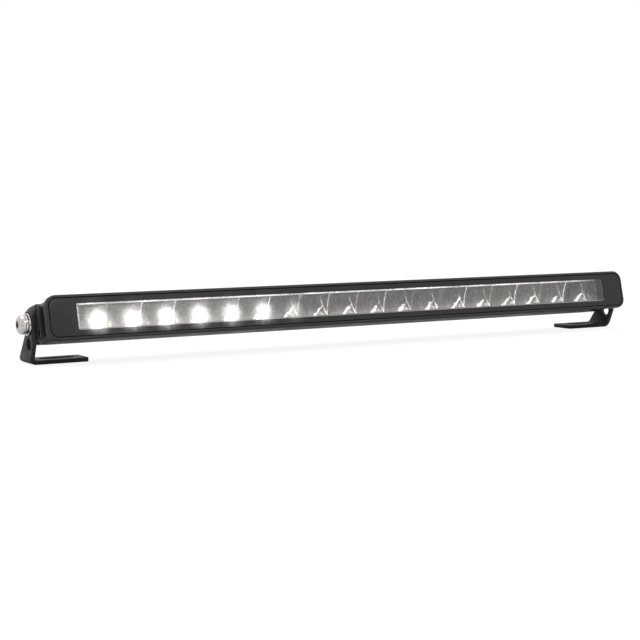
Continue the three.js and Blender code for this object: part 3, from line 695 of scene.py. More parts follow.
def mirror_coat():
    """Vacuum-coated plastic: grey metal with flow streaks and pin holes, with painted highlights
    glowing on it.
    """
    material, nodes, shader, _, place = new_material("reflector_mirror_coat")
    drawn = nodes.scaled(place, 240.0, 240.0, 70.0)
    metal = placed_group(nodes, BRUSHED, drawn, Colour=(0.44, 0.425, 0.42, 1),
                         Dark_Colour=(0.20, 0.19, 0.188, 1), Roughness=0.3, Spread=0.16)
    # white specks for pin holes in the coat; they also glow faintly as a painted glint
    pits = nodes.noise(place, 1300.0, 2.0, 0.6)
    pinhole_and_glint_mask = nodes.ramp(pits, 0.0, 1.0, 0.66, 0.74)
    nodes.join(nodes.blend(pinhole_and_glint_mask, metal.outputs["Colour"], (0.95, 0.95, 0.94, 1)),
               shader.inputs["Base Color"])
    nodes.join(metal.outputs["Roughness"], shader.inputs["Roughness"])
    shader.inputs["Metallic"].default_value = 1.0
    bumped(nodes, shader, metal.outputs["Height"], 0.25, 0.05 * MM)
    # painted highlights: the bowls glow where the highlight mask is set
    light = placed_group(nodes, HIGHLIGHTS, place, Lip_Height=0.0095, Lip_Depth=0.0095,
                         Ridge_Width=0.00042)
    sparkle = nodes.ramp(light.outputs["Grain"], 0.3, 1.0, 0.38, 0.58)
    glow = nodes.math("MULTIPLY", light.outputs["Mask"], sparkle)
    # painted glint: the pin holes glow a little
    faint = nodes.math("MULTIPLY", pinhole_and_glint_mask, 0.25)
    nodes.join(nodes.blend(nodes.math("MAXIMUM", glow, faint), (0, 0, 0, 1), (1, 1, 0.98, 1)),
               shader.inputs["Emission Color"])
    shader.inputs["Emission Strength"].default_value = 1.5
    return material


def board_mask(name, colour, track_colour, front=0.0):
    """Solder mask with faint copper tracks under it, and painted shade on its cut edge at the
    front.
    """
    material, nodes, shader, _, place = new_material(name)
    tracks = nodes.add("ShaderNodeTexWave", wave_type="BANDS", bands_direction="Y")
    nodes.join(place, tracks.inputs["Vector"])
    tracks.inputs["Scale"].default_value = 90.0
    tracks.inputs["Distortion"].default_value = 1.5
    lines = nodes.ramp(tracks.outputs["Fac"], 0.0, 0.5, 0.55, 0.75)
    mask = nodes.blend(lines, colour, track_colour)
    # painted shade: faces up to 0.2 mm behind the board's front edge are dark
    cut = nodes.math("LESS_THAN", lamp_axes(nodes, place).outputs["Y"], front + 0.2 * MM)
    nodes.join(nodes.blend(cut, mask, (0.03, 0.028, 0.026, 1)), shader.inputs["Base Color"])
    grain = nodes.noise(place, 1500.0, 3.0, 0.5)
    nodes.join(nodes.ramp(grain, 0.3, 0.45, 0.3, 0.7), shader.inputs["Roughness"])
    bumped(nodes, shader, tracks.outputs["Fac"], 0.1, 0.03 * MM)
    return material


def led_package(name, colour, glow):
    material, nodes, shader, _, place = new_material(name)
    cloud = nodes.noise(place, 900.0, 3.0, 0.5)
    tone = nodes.blend(cloud, colour, (0.9, 0.89, 0.84, 1))
    nodes.join(tone, shader.inputs["Base Color"])
    nodes.join(nodes.ramp(cloud, 0.12, 0.25, 0.3, 0.7), shader.inputs["Roughness"])
    if glow:
        nodes.join(nodes.blend(cloud, (1.0, 1.0, 0.93, 1), (0.93, 0.98, 1.0, 1)),
                   shader.inputs["Emission Color"])
        shader.inputs["Emission Strength"].default_value = glow
    return material


FRAME_COAT = coated("frame_powder_coat", (0.022, 0.021, 0.021, 1), (0.12, 0.12, 0.12, 1),
                    0.44, 0.03, 1900.0, 0.25, 0.05 * MM, 0.28)
BRACKET_COAT = coated("bracket_powder_coat", (0.020, 0.0195, 0.0195, 1),
                      (0.10, 0.095, 0.09, 1), 0.5, 0.2, 1500.0, 0.35, 0.05 * MM, 0.2)
ANODISED = brushed("anodised_heat_sink", (60.0, 2600.0, 2600.0), (0.030, 0.030, 0.032, 1),
                   (0.016, 0.016, 0.018, 1), 0.34, 0.1, 0.25, 0.2, 0.03 * MM)
BORDER = border_gloss()
LENS = clear_lens()
MIRROR = mirror_coat()
STAINLESS = steel("stainless_steel", (0.84, 0.81, 0.79, 1), (0.20, 0.19, 0.18, 1), 0.10)
# zinc-plated cap screws, painted near black as the shade they sit in round the end caps
SHADE_DARK_ZINC = steel("shade_dark_zinc_plate", (0.045, 0.045, 0.05, 1), (0.02, 0.02, 0.022, 1), 0.38)
RUBBER = moulded("gasket_rubber", (0.008, 0.008, 0.008, 1), (0.05, 0.05, 0.05, 1), 0.75, 900.0)
NYLON = moulded("black_nylon", (0.014, 0.014, 0.015, 1), (0.08, 0.08, 0.08, 1), 0.5, 1200.0)
FERRITE = moulded("ferrite", (0.03, 0.027, 0.026, 1), (0.12, 0.1, 0.1, 1), 0.7, 700.0)
SLEEVE = moulded("capacitor_sleeve", (0.03, 0.06, 0.16, 1), (0.3, 0.35, 0.45, 1), 0.35, 500.0)
WHITE_BOARD = board_mask("white_solder_mask", (0.60, 0.60, 0.58, 1), (0.52, 0.52, 0.50, 1),
                         lamp_box("led_board")[0].y)
GREEN_BOARD = board_mask("green_solder_mask", (0.012, 0.10, 0.035, 1), (0.02, 0.16, 0.05, 1))
# painted light and shade: the LEDs are alike, drawn as a brightly glowing copy and a darker, dimly
# glowing copy
LIT_LED = led_package("lit_emitter", (0.95, 0.95, 0.85, 1), 9.0)
PAINTED_DIM_LED = led_package("painted_dim_emitter", (0.30, 0.28, 0.24, 1), 0.08)

# ------------------------------------------------------------------ front of the lamp

SEAT_CLEARANCE = 0.3 * MM
FRAME_HIGH = lamp_box("front_frame")[1]
LENS_HIGH = lamp_box("front_lens")[1]
BORDER_HIGH = lamp_box("lens_border")[1]
GASKET_HIGH = lamp_box("lens_gasket")[1]
FRAME_CORNER = 8 * MM
RIM_WIDTH = FRAME_HIGH.x - LENS_HIGH.x
LENS_CORNER = FRAME_CORNER - RIM_WIDTH


def frame_profile():
    """Cross-section of the frame's rim and wall: (inset at ends, inset above, depth)."""
    rim_round = 1.3 * MM
    flange_depth = 5 * MM
    flange_round = 0.6 * MM
    skirt_depth = 10 * MM
    skirt_steps = 10
    wall_step = 1.6 * MM
    end_step = 1.5 * MM
    wall = 3.3 * MM
    end_block = 15.2 * MM
    seat = RIM_WIDTH - SEAT_CLEARANCE
    ledge = GASKET_HIGH.y + SEAT_CLEARANCE
    rear = FRAME_HIGH.y
    lip = 0.1 * MM
    outer = [(seat, seat, ledge), (seat, seat, lip), (seat - lip, seat - lip, 0)]
    outer += [(a, a, d) for a, d in arc(rim_round, rim_round, rim_round, rim_round, 270, 180, 6)]
    outer.append((0, 0, flange_depth - flange_round))
    outer += [(a, a, d) for a, d in arc(flange_round, flange_depth - flange_round, flange_round,
                                        flange_round, 180, 90, 3)][1:]
    for i in range(skirt_steps + 1):
        share = i / skirt_steps
        turn = 1 - math.cos(share * math.pi / 2)
        inset_z = flange_round + (wall_step - flange_round) * turn
        inset_x = flange_round + (end_step - flange_round) * turn
        outer.append((inset_x, inset_z, flange_depth + (skirt_depth - flange_depth) * share))
    for inward, ahead in ((0, 0.8 * MM), (0.25 * MM, 0.2 * MM), (0.8 * MM, 0)):
        outer.append((end_step + inward, wall_step + inward, rear - ahead))
    inner_x = end_step + end_block
    inner_z = wall_step + wall
    return outer + [(inner_x, inner_z, rear), (inner_x, inner_z, ledge)]


def add_front_frame():
    mesh = swept_frame("front_frame_mesh", frame_profile(), FRAME_HIGH.x, FRAME_HIGH.z,
                       FRAME_CORNER)
    finished_object("front_frame_shell", mesh, "lamp", ["front_frame"],
                    FRAME_COAT, 35)


def window_half():
    """Half length and half height of the border's window."""
    beyond_cells = 2.4 * MM
    border_width = 4.4 * MM
    return beyond_cells + CELLS * CELL_PITCH / 2, LENS_HIGH.z - border_width


def add_border():
    half_x, half_z = window_half()
    edge = 0.08 * MM
    window_edge = 0.1 * MM
    inset_all = 0.35 * MM
    bm = bmesh.new()
    rings = []
    for inset, depth in ((inset_all, BORDER_HIGH.y), (inset_all, edge), (inset_all + edge, 0)):
        rings.append(ring_at(bm, LENS_HIGH.x - inset, LENS_HIGH.z - inset,
                             LENS_CORNER - inset, depth))
    for inset, depth in ((window_edge, 0), (0, window_edge), (0, BORDER_HIGH.y)):
        rings.append(ring_at(bm, half_x + inset, half_z + inset, MM, depth))
    bridge(bm, rings, closed=True)
    mesh = mesh_from("lens_border_mesh", bm, LAMP)
    finished_object("gloss_border", mesh, "lamp", ["lens_border"], BORDER, 35)


def add_lens():
    half_x, half_z = window_half()
    pane_x, pane_z = half_x - SEAT_CLEARANCE, half_z - SEAT_CLEARANCE
    step = BORDER_HIGH.y + SEAT_CLEARANCE
    edge = 0.15 * MM
    layout = [(pane_x - edge, pane_z - edge, MM, 0),
              (pane_x, pane_z, MM, edge),
              (pane_x, pane_z, MM, step),
              (LENS_HIGH.x - edge, LENS_HIGH.z - edge, LENS_CORNER, step),
              (LENS_HIGH.x, LENS_HIGH.z, LENS_CORNER, step + edge),
              (LENS_HIGH.x, LENS_HIGH.z, LENS_CORNER, LENS_HIGH.y - edge),
              (LENS_HIGH.x - edge, LENS_HIGH.z - edge, LENS_CORNER, LENS_HIGH.y)]
    bm = bmesh.new()
    capped_tube(bm, [ring_at(bm, *ring) for ring in layout])
    mesh = mesh_from("front_lens_mesh", bm, LAMP)
    finished_object("stepped_lens", mesh, "lamp", ["front_lens"], LENS, 30)


# ------------------------------------------------------------------ reflectors and LEDs

BOWL_BACK = 24.0 * MM              # deepest point of a bowl
BOWL_RISE = 35.6 * MM              # four focal lengths up the bowl
BOWL_SPREAD = 42.0 * MM            # the same across it
BOWL_CENTRE = LED_HIGH.z - 1.9 * MM
ROOF_THICKNESS = 1.3 * MM
SHELL_BACK = 0.9 * MM              # shell behind a bowl's deepest point
END_WALL = 0.8 * MM                # wall at the outer end of the first and last strip
WALL_STEP = 0.05 * MM
WALL_DEPTH = 0.02 * MM
BOWL_ROWS = 22


def bowl_depth(x, z):
    """Depth of the reflector's surface, the nearest bowl's wall."""
    nearest = min(CELL_CENTRES, key=lambda centre: abs(x - centre))
    across = (x - nearest) ** 2 / BOWL_SPREAD
    return BOWL_BACK - across - (z - BOWL_CENTRE) ** 2 / BOWL_RISE


def reflector_columns(index):
    """Places along one strip, closer together at the ridges between its bowls."""
    columns = []
    first = index * CELLS_PER_REFLECTOR
    half = CELL_PITCH / 2
    shares = [-1.0, -0.985, -0.96] + [-0.9 + 1.8 * i / 24 for i in range(25)] + [0.96, 0.985]
    for cell in range(first, first + CELLS_PER_REFLECTOR):
        columns += [CELL_CENTRES[cell] + half * share for share in shares]
    columns.append(CELL_CENTRES[first + CELLS_PER_REFLECTOR - 1] + half)
    return columns


def add_reflector(index):
    low, high = lamp_box(f"reflector_{index + 1}")
    roof = high.z - ROOF_THICKNESS
    columns = reflector_columns(index)
    columns[0], columns[-1] = low.x, high.x
    walls = []
    if index == 0:
        walls = [low.x, low.x + END_WALL]
        columns = walls + [low.x + END_WALL + WALL_STEP] + columns[2:]
    if index == CELLS // CELLS_PER_REFLECTOR - 1:
        walls = [high.x - END_WALL, high.x]
        columns = columns[:-2] + [high.x - END_WALL - WALL_STEP] + walls
    back = BOWL_BACK + SHELL_BACK
    bm = bmesh.new()
    grid = []
    for x in columns:
        points = [(low.y, roof)]
        for j in range(BOWL_ROWS + 1):
            z = roof + (low.z - roof) * j / BOWL_ROWS
            points.append((low.y + WALL_DEPTH if x in walls else max(bowl_depth(x, z), low.y), z))
        points += [(back, low.z), (back, high.z), (low.y, high.z)]
        grid.append([bm.verts.new((x, depth, z)) for depth, z in points])
    capped_tube(bm, grid)
    mesh = mesh_from("reflector_mesh", bm, LAMP)
    finished_object(f"mirror_strip_{index + 1}", mesh, "lamp", [f"reflector_{index + 1}"],
                    MIRROR, 50)


# ------------------------------------------------------------------ rows of equal parts


def build_row_tree():
    """Geometry Nodes: equal parts in a straight row, made real and given their finish."""
    tree = bpy.data.node_groups.new("row_of_parts", "GeometryNodeTree")
    for label, kind in (("Part", "NodeSocketObject"), ("Count", "NodeSocketInt"),
                        ("Start", "NodeSocketVector"), ("Step", "NodeSocketVector"),
                        ("Finish", "NodeSocketMaterial")):
        tree.interface.new_socket(label, in_out="INPUT", socket_type=kind)
    tree.interface.new_socket("Row", in_out="OUTPUT", socket_type="NodeSocketGeometry")
    nodes = Nodes(tree)
    given = nodes.add("NodeGroupInput")
    line = nodes.add("GeometryNodeMeshLine", mode="OFFSET", count_mode="TOTAL")
    part = nodes.add("GeometryNodeObjectInfo", transform_space="ORIGINAL")
    placed = nodes.add("GeometryNodeInstanceOnPoints")
    real = nodes.add("GeometryNodeRealizeInstances")
    finish = nodes.add("GeometryNodeSetMaterial")
    result = nodes.add("NodeGroupOutput")
    nodes.join(given.outputs["Count"], line.inputs["Count"])
    nodes.join(given.outputs["Start"], line.inputs["Start Location"])
    nodes.join(given.outputs["Step"], line.inputs["Offset"])
    nodes.join(given.outputs["Part"], part.inputs["Object"])
    nodes.join(line.outputs["Mesh"], placed.inputs["Points"])
    nodes.join(part.outputs["Geometry"], placed.inputs["Instance"])
    nodes.join(placed.outputs["Instances"], real.inputs["Geometry"])
    nodes.join(real.outputs["Geometry"], finish.inputs["Geometry"])
    nodes.join(given.outputs["Finish"], finish.inputs["Material"])
    nodes.join(finish.outputs["Geometry"], result.inputs["Row"])
    return tree


ROW_TREE = build_row_tree()


def row_of(name, part_mesh, count, start, step, material):
    """Runs the row tree on a part's mesh and returns the row as one plain mesh."""
    part = linked(name + "_part", part_mesh)
    carrier = linked(name + "_carrier", bpy.data.meshes.new(name + "_carrier"))
    modifier = carrier.modifiers.new("row", "NODES")
    modifier.node_group = ROW_TREE
    values = {"Part": part, "Count": count, "Start": start, "Step": step, "Finish": material}
    for socket in ROW_TREE.interface.items_tree:
        if socket.in_out == "INPUT":
            modifier[socket.identifier] = values[socket.name]
    mesh = evaluated_mesh(carrier, name)
    bpy.data.objects.remove(part)
    return mesh


def merged(meshes, name):
    """Several plain meshes as one."""
    bm = bmesh.new()
    for mesh in meshes:
        bm.from_mesh(mesh)
    return plain_mesh(name, bm)


# ------------------------------------------------------------------ LEDs


def led_mesh():
    """One emitter: a square package with soft edges under a domed lens."""
    base_height = 1.2 * MM
    dome_radius = 1.9 * MM
    half = (LED_HIGH.x - LED_LOW.x) / 2
    bm = bmesh.new()
    solid_block(bm, (-half, -half, 0), (half, half, base_height))
    base = carved("led_base", bm, bevel=0.2 * MM)
    dome = bmesh.new()
    profile = [(dome_radius, 0)]
    profile += [(r, h) for r, h in arc(0, 0, dome_radius, dome_radius, 0, 90, 7)][1:]
    profile[-1] = (0, dome_radius)
    rings = lathe(dome, profile, (0, 0, base_height - 0.05 * MM), (0, 0, 1), 20)
    dome.faces.new(list(reversed(rings[0])))
    return merged([base, outward_mesh("led_dome", dome)], "led")


def add_leds():
    part = led_mesh()
    for name, first, count, material in (("lit_leds", 0, LIT_CELLS, LIT_LED),
                                         ("side_leds", LIT_CELLS, CELLS - LIT_CELLS, PAINTED_DIM_LED)):
        start = (CELL_CENTRES[first], LED_DEPTH, LED_LOW.z)
        mesh = row_of(name, part, count, start, (CELL_PITCH, 0, 0), material)
        mesh.transform(LAMP)
        nodes = [f"led_{i + 1:02d}" for i in range(first, first + count)]
        finished_object(name, mesh, "lamp", nodes, material)


# ------------------------------------------------------------------ heat sink

SINK_HIGH = lamp_box("heat_sink")[1]
FIN_COUNT = 6
FIN_THICKNESS = 2.4 * MM
BASE_THICKNESS = 3.5 * MM
POCKET_WIDTH = 20 * MM
ROOT = 0.4 * MM                    # how far fins and channels reach into the base
CHANNEL_HALF = 3 * MM              # half a screw channel's width
CHANNEL_INSET = 4 * MM             # its middle below the housing's top
SHELF_THICKNESS = 1.7 * MM
GLAND_LOW, GLAND_HIGH = lamp_box("cable_gland")
VENT_LOW, VENT_HIGH = lamp_box("breather_vent")
GLAND_X = (GLAND_LOW.x + GLAND_HIGH.x) / 2
BODY_HALF = lamp_box("left_end_cap")[1].z
BODY_FRONT = lamp_box("body_gasket")[1].y + SEAT_CLEARANCE
BASE_BACK = BODY_FRONT + BASE_THICKNESS


def fin_mesh(name, length):
    """One fin along x, standing back from the base, with a rounded tip."""
    tip = FIN_THICKNESS / 2
    tip_round = 0.8 * tip
    section = [(BASE_BACK - ROOT, -tip), (BASE_BACK - ROOT, tip)]
    section += arc(SINK_HIGH.y - tip_round, 0, tip_round, tip, 90, -90, 9)
    bm = bmesh.new()
    prism(bm, [(-length / 2, depth, z) for depth, z in section], (length, 0, 0))
    return outward_mesh(name, bm)


def add_fins():
    half_length = SINK_HIGH.x
    pitch = (2 * BODY_HALF - FIN_THICKNESS) / (FIN_COUNT - 1)
    lowest = -BODY_HALF + FIN_THICKNESS / 2
    pocket_in = GLAND_X - POCKET_WIDTH / 2
    pocket_out = GLAND_X + POCKET_WIDTH / 2
    outer = row_of("outer_fins", fin_mesh("long_fin", 2 * half_length), 2,
                   (0, 0, lowest), (0, 0, pitch * (FIN_COUNT - 1)), ANODISED)
    middle = row_of("middle_fins", fin_mesh("middle_fin", 2 * pocket_in), FIN_COUNT - 2,
                    (0, 0, lowest + pitch), (0, 0, pitch), ANODISED)
    stub = fin_mesh("end_fin", half_length - pocket_out)
    stub_x = (half_length + pocket_out) / 2
    ends = [row_of("end_fins", stub, FIN_COUNT - 2, (side * stub_x, 0, lowest + pitch),
                   (0, 0, pitch), ANODISED) for side in (-1, 1)]
    mesh = merged([outer, middle] + ends, "fins")
    mesh.transform(LAMP)
    finished_object("cooling_fins", mesh, "lamp", ["heat_sink"], ANODISED)


def add_sink_body():
    half_length = SINK_HIGH.x
    pocket_in = GLAND_X - POCKET_WIDTH / 2
    pocket_out = GLAND_X + POCKET_WIDTH / 2
    base = bmesh.new()
    solid_block(base, (-half_length, BODY_FRONT, -BODY_HALF), (half_length, BASE_BACK, BODY_HALF))
    holes = []
    for x, radius in ((GLAND_X, 5.3 * MM), (-GLAND_X, 2.8 * MM)):
        hole = bmesh.new()
        outline = [(x + across, BODY_FRONT - MM, up) for across, up in circle(radius, 32)]
        prism(hole, outline, (0, BASE_THICKNESS + 2 * MM, 0))
        holes.append(hole)
    plate = carved("sink_base", base, holes, 0.5 * MM)
    strips = []
    for sign in (-1, 1):
        centre = sign * (BODY_HALF - CHANNEL_INSET)
        for low, high in ((-half_length, -pocket_out), (-pocket_in, pocket_in),
                          (pocket_out, half_length)):
            channel = bmesh.new()
            solid_block(channel, (low, BASE_BACK - ROOT, centre - CHANNEL_HALF),
                        (high, SINK_HIGH.y - 2 * MM, centre + CHANNEL_HALF))
            strips.append(carved("channel", channel, bevel=0.4 * MM))
    shelf = bmesh.new()
    board_low, board_high = lamp_box("led_board")
    solid_block(shelf, (board_low.x, board_low.y, board_low.z - SHELF_THICKNESS),
                (board_high.x, BODY_FRONT + 0.3 * MM, board_low.z - SEAT_CLEARANCE))
    tray = carved("board_shelf", shelf, bevel=0.1 * MM)
    mesh = merged([plate, tray] + strips, "sink_body")
    mesh.transform(LAMP)
    finished_object("heat_sink_body", mesh, "lamp", ["heat_sink"], ANODISED)


# ------------------------------------------------------------------ end caps and brackets

PIVOT_DEPTH = -FRONT_EDGE
PIVOT_HOLE = 4.3 * MM              # radius of the hole round a pivot screw
PAD_HALF = 12.5 * MM               # half the height of the pad behind a bracket


def near_and_far(node):
    """How far a node's two ends are from the lamp's middle, the nearer one first."""
    low, high = lamp_box(node)
    return sorted((abs(low.x), abs(high.x)))


def section_loop(y0, y1, half_z, radius):
    """Rounded outline in (depth, height) between two depths."""
    centre = (y0 + y1) / 2
    return [(centre + a, b) for a, b in rounded_loop((y1 - y0) / 2, half_z, radius)]


def round_hole(x0, x1, y, z, radius, steps=32):
    """A round bar along x, to cut a hole with."""
    bm = bmesh.new()
    outline = [(x0, y + across, z + up) for across, up in circle(radius, steps)]
    prism(bm, outline, (x1 - x0, 0, 0))
    return bm


def add_end_cap(side, label):
    pad_outer = near_and_far(f"{label}_end_cap")[1]
    cap_outer = pad_outer - 2.5 * MM
    cap_inner = cap_outer - 4.4 * MM
    frame_side = FRAME_HIGH.x - 1.5 * MM + SEAT_CLEARANCE
    pad_front = lamp_box(f"{label}_end_cap")[0].y
    pad_rear = SINK_HIGH.y - 9.5 * MM
    plate = bmesh.new()
    outline = section_loop(BODY_FRONT, SINK_HIGH.y, BODY_HALF, 3 * MM)
    prism(plate, [(side * cap_inner, y, z) for y, z in outline],
          (side * (cap_outer - cap_inner), 0, 0))
    pad = bmesh.new()
    outline = section_loop(pad_front, pad_rear, PAD_HALF, 5 * MM)
    prism(pad, [(side * frame_side, y, z) for y, z in outline],
          (side * (pad_outer - frame_side), 0, 0))
    reach = side * (pad_outer + MM)
    start = side * (cap_inner - MM)
    tools = [round_hole(start, reach, PIVOT_DEPTH, 0, PIVOT_HOLE)]
    for y, z in cap_screw_places("body") + cap_screw_places("frame"):
        tools.append(round_hole(start, reach, y, z, 1.8 * MM, 20))
    for y, z in cap_screw_places("frame"):
        tools.append(round_hole(side * (pad_outer - 1.5 * MM), reach, y, z, 2.9 * MM, 24))
    mesh = carved("end_cap", plate, tools, 0.7 * MM, 3, add=pad)
    mesh.transform(LAMP)
    finished_object(f"{label}_cap_casting", mesh, "lamp", [f"{label}_end_cap"],
                    FRAME_COAT, 35)


def cap_screw_places(into):
    """Depth and height of an end cap's small screws."""
    if into == "body":
        height = BODY_HALF - 4 * MM
        return [(SINK_HIGH.y - 5 * MM, height), (SINK_HIGH.y - 5 * MM, -height)]
    pad_front = lamp_box("left_end_cap")[0].y
    reach = PAD_HALF - 3.9 * MM
    return [(pad_front + 3.9 * MM, reach), (pad_front + 3.9 * MM, -reach)]


def button_screw(name, side, shank, length, head, height, socket, depth, steps):
    """A round-headed screw with a hexagon socket, its head's underside at x = 0."""
    bm = bmesh.new()
    land = socket * 0.62
    edge = height * 0.22
    profile = [(0, -length), (shank - 0.3 * MM, -length), (shank, -length + 0.3 * MM),
               (shank, 0), (head - 0.15 * MM, 0), (head, 0.15 * MM), (head, edge)]
    profile += arc(land, edge, head - land, height - edge, 0, 90, 10)[1:]
    profile.append((0, height))
    lathe(bm, profile, (0, 0, 0), (side, 0, 0), steps)
    bmesh.ops.remove_doubles(bm, verts=bm.verts, dist=TINY)
    hexagon = bmesh.new()
    outline = [(side * (height - depth), across, up)
               for across, up in circle(socket / math.sqrt(3), 6)]
    prism(hexagon, outline, (side * 2 * depth, 0, 0))
    return carved(name, bm, [hexagon])


def add_cap_screws(side, label):
    head_radius, head_height, shank = 2.6 * MM, 1.2 * MM, 1.5 * MM
    socket, socket_depth = 2 * MM, 0.8 * MM
    rows = []
    for into, first, length in (("body", 1, 9.6 * MM), ("frame", 3, 3 * MM)):
        seat = near_and_far(f"{label}_cap_screw_{first}")[1] - head_height
        part = button_screw("cap_screw", side, shank, length, head_radius, head_height,
                            socket, socket_depth, 24)
        (y, top), (_, bottom) = cap_screw_places(into)
        rows.append(row_of("cap_screws", part, 2, (side * seat, y, top),
                           (0, 0, bottom - top), SHADE_DARK_ZINC))
    mesh = merged(rows, "cap_screws")
    mesh.transform(LAMP)
    finished_object(f"{label}_cap_screws", mesh, "lamp",
                    [f"{label}_cap_screw_{i + 1}" for i in range(4)], SHADE_DARK_ZINC, 30)


def ring_mesh(name, side, inner, outer, near, far, chamfer, slit=None):
    """A flat ring about the pivot's axis with eased edges, and a slit if it has one."""
    bm = bmesh.new()
    profile = [(inner, near), (outer - chamfer, near), (outer, near + chamfer),
               (outer, far - chamfer), (outer - chamfer, far), (inner, far)]
    rings = lathe(bm, profile, (0, PIVOT_DEPTH, 0), (side, 0, 0), 48)
    bridge(bm, [rings[-1], rings[0]], closed=False)
    bmesh.ops.remove_doubles(bm, verts=bm.verts, dist=TINY)
    tools = []
    if slit:
        cut = bmesh.new()
        solid_block(cut, (-outer, -2 * outer, -slit / 2), (outer, 0, slit / 2))
        lean = Matrix.Rotation(math.radians(18), 4, "Y")
        middle = Vector((side * (near + far) / 2, PIVOT_DEPTH, 0))
        bmesh.ops.transform(cut, matrix=Matrix.Translation(middle) @ lean, verts=cut.verts)
        tools.append(cut)
    mesh = carved(name, bm, tools)
    mesh.transform(LAMP)
    return mesh


def add_pivot(side, label):
    for node, name, chamfer, slit in (("flat_washer", "washer", 0.2 * MM, None),
                                      ("spring_washer", "split_washer", 0.25 * MM, 1.2 * MM)):
        near, far = near_and_far(f"{label}_{node}")
        outer = lamp_box(f"{label}_{node}")[1].z
        mesh = ring_mesh(node, side, PIVOT_HOLE, outer, near, far, chamfer, slit)
        finished_object(f"{label}_{name}", mesh, "lamp", [f"{label}_{node}"],
                        STAINLESS, 30)
    tip, top = near_and_far(f"{label}_pivot_screw")
    height = 4.2 * MM
    mesh = button_screw("pivot_screw", side, 4 * MM, top - tip - height, 7 * MM, height,
                        5 * MM, 2.6 * MM, 48)
    mesh.transform(LAMP @ Matrix.Translation((side * (top - height), PIVOT_DEPTH, 0)))
    finished_object(f"{label}_button_screw", mesh, "lamp", [f"{label}_pivot_screw"],
                    STAINLESS, 30)


PLATE = 3 * MM
FOOT_AHEAD = 2 * MM                # foot's front edge ahead of the pivot
FOOT_CORNER = 2.5 * MM
EAR_HALF = 8 * MM
EAR_CORNER = 4 * MM
REAR_SLOPE = (2.5 * MM, 20.5 * MM)      # heights where the ear's rear slope starts and ends
FRONT_SLOPE = (1.25 * MM, 14.5 * MM)
LOWER_HOLE_HEIGHT = 14.6 * MM
LOWER_HOLE = 4.5 * MM
SLOT_START = 7.5 * MM              # from the foot's tip
SLOT_HALF = 13 * MM
SLOT_RADIUS = 4.25 * MM


def bracket_section(side, tip, outer_x, top):
    """The bent plate seen from the front, as (x, z)."""
    inside = 1.5 * MM
    outside = inside + PLATE
    bend = outer_x - outside
    points = [(tip, 0)]
    points += arc(bend, outside, outside, outside, -90, 0, 12)
    points += [(outer_x, top), (outer_x - PLATE, top)]
    points += arc(bend, outside, inside, inside, 0, -90, 8)
    points.append((tip, PLATE))
    return [(side * x, z) for x, z in points]


def bracket_outline(rear, top):
    """The ear and foot seen from the side, as (y, z)."""
    foot_front = PIVOT.y - FOOT_AHEAD
    round_height = top - EAR_CORNER
    points = [(foot_front, 0), (rear, 0), (rear, REAR_SLOPE[0]),
              (PIVOT.y + EAR_HALF, REAR_SLOPE[1])]
    points += arc(PIVOT.y + EAR_HALF - EAR_CORNER, round_height, EAR_CORNER, EAR_CORNER, 0, 90, 8)
    points += arc(PIVOT.y - EAR_HALF + EAR_CORNER, round_height, EAR_CORNER, EAR_CORNER,
                  90, 180, 8)
    points += [(PIVOT.y - EAR_HALF, FRONT_SLOPE[1]), (foot_front, FRONT_SLOPE[0])]
    return points


def corner_shave(tip_x, y, side, toward):
    """What is cut off the foot's tip to round one of its corners."""
    curve = [(side * (tip_x + FOOT_CORNER - FOOT_CORNER * math.cos(a)),
              y + toward * (FOOT_CORNER - FOOT_CORNER * math.sin(a)))
             for a in [math.radians(10 * i) for i in range(10)]]
    outside = [(side * (tip_x + FOOT_CORNER), y - toward * MM),
               (side * (tip_x - MM), y - toward * MM),
               (side * (tip_x - MM), y + toward * FOOT_CORNER)]
    shave = bmesh.new()
    prism(shave, [(a, b, -MM) for a, b in curve + outside], (0, 0, 5 * MM))
    return shave


def add_bracket(side, label):
    low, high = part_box(f"{label}_bracket")
    tip, outer_x = sorted((abs(low.x), abs(high.x)))
    foot_front = PIVOT.y - FOOT_AHEAD
    far = 60 * MM
    body = bmesh.new()
    section = bracket_section(side, tip, outer_x, high.z + MM)
    prism(body, [(x, -far / 2, z) for x, z in section], (0, far, 0))
    keep = bmesh.new()
    prism(keep, [(side * (tip - MM), y, z) for y, z in bracket_outline(high.y, high.z)],
          (side * (outer_x - tip + 2 * MM), 0, 0))
    start, end = side * (outer_x - 8 * MM), side * (outer_x + MM)
    tools = [round_hole(start, end, PIVOT.y, PIVOT.z, PIVOT_HOLE),
             round_hole(start, end, PIVOT.y, LOWER_HOLE_HEIGHT, LOWER_HOLE, 40)]
    slot = bmesh.new()
    foot_middle = (foot_front + high.y) / 2
    slot_x = side * (tip + SLOT_START + SLOT_HALF)
    loop = rounded_loop(SLOT_HALF, SLOT_RADIUS, SLOT_RADIUS, 10)
    prism(slot, [(slot_x + x, foot_middle + y, -MM) for x, y in loop], (0, 0, 6 * MM))
    tools.append(slot)
    for y, toward in ((foot_front, 1), (high.y, -1)):
        tools.append(corner_shave(tip, y, side, toward))
    mesh = carved("bracket", body, tools, 0.35 * MM, 3, keep=keep)
    finished_object(f"{label}_bent_bracket", mesh, f"{label}_mount", [f"{label}_bracket"],
                    BRACKET_COAT, 35)


# ------------------------------------------------------------------ gland and vent


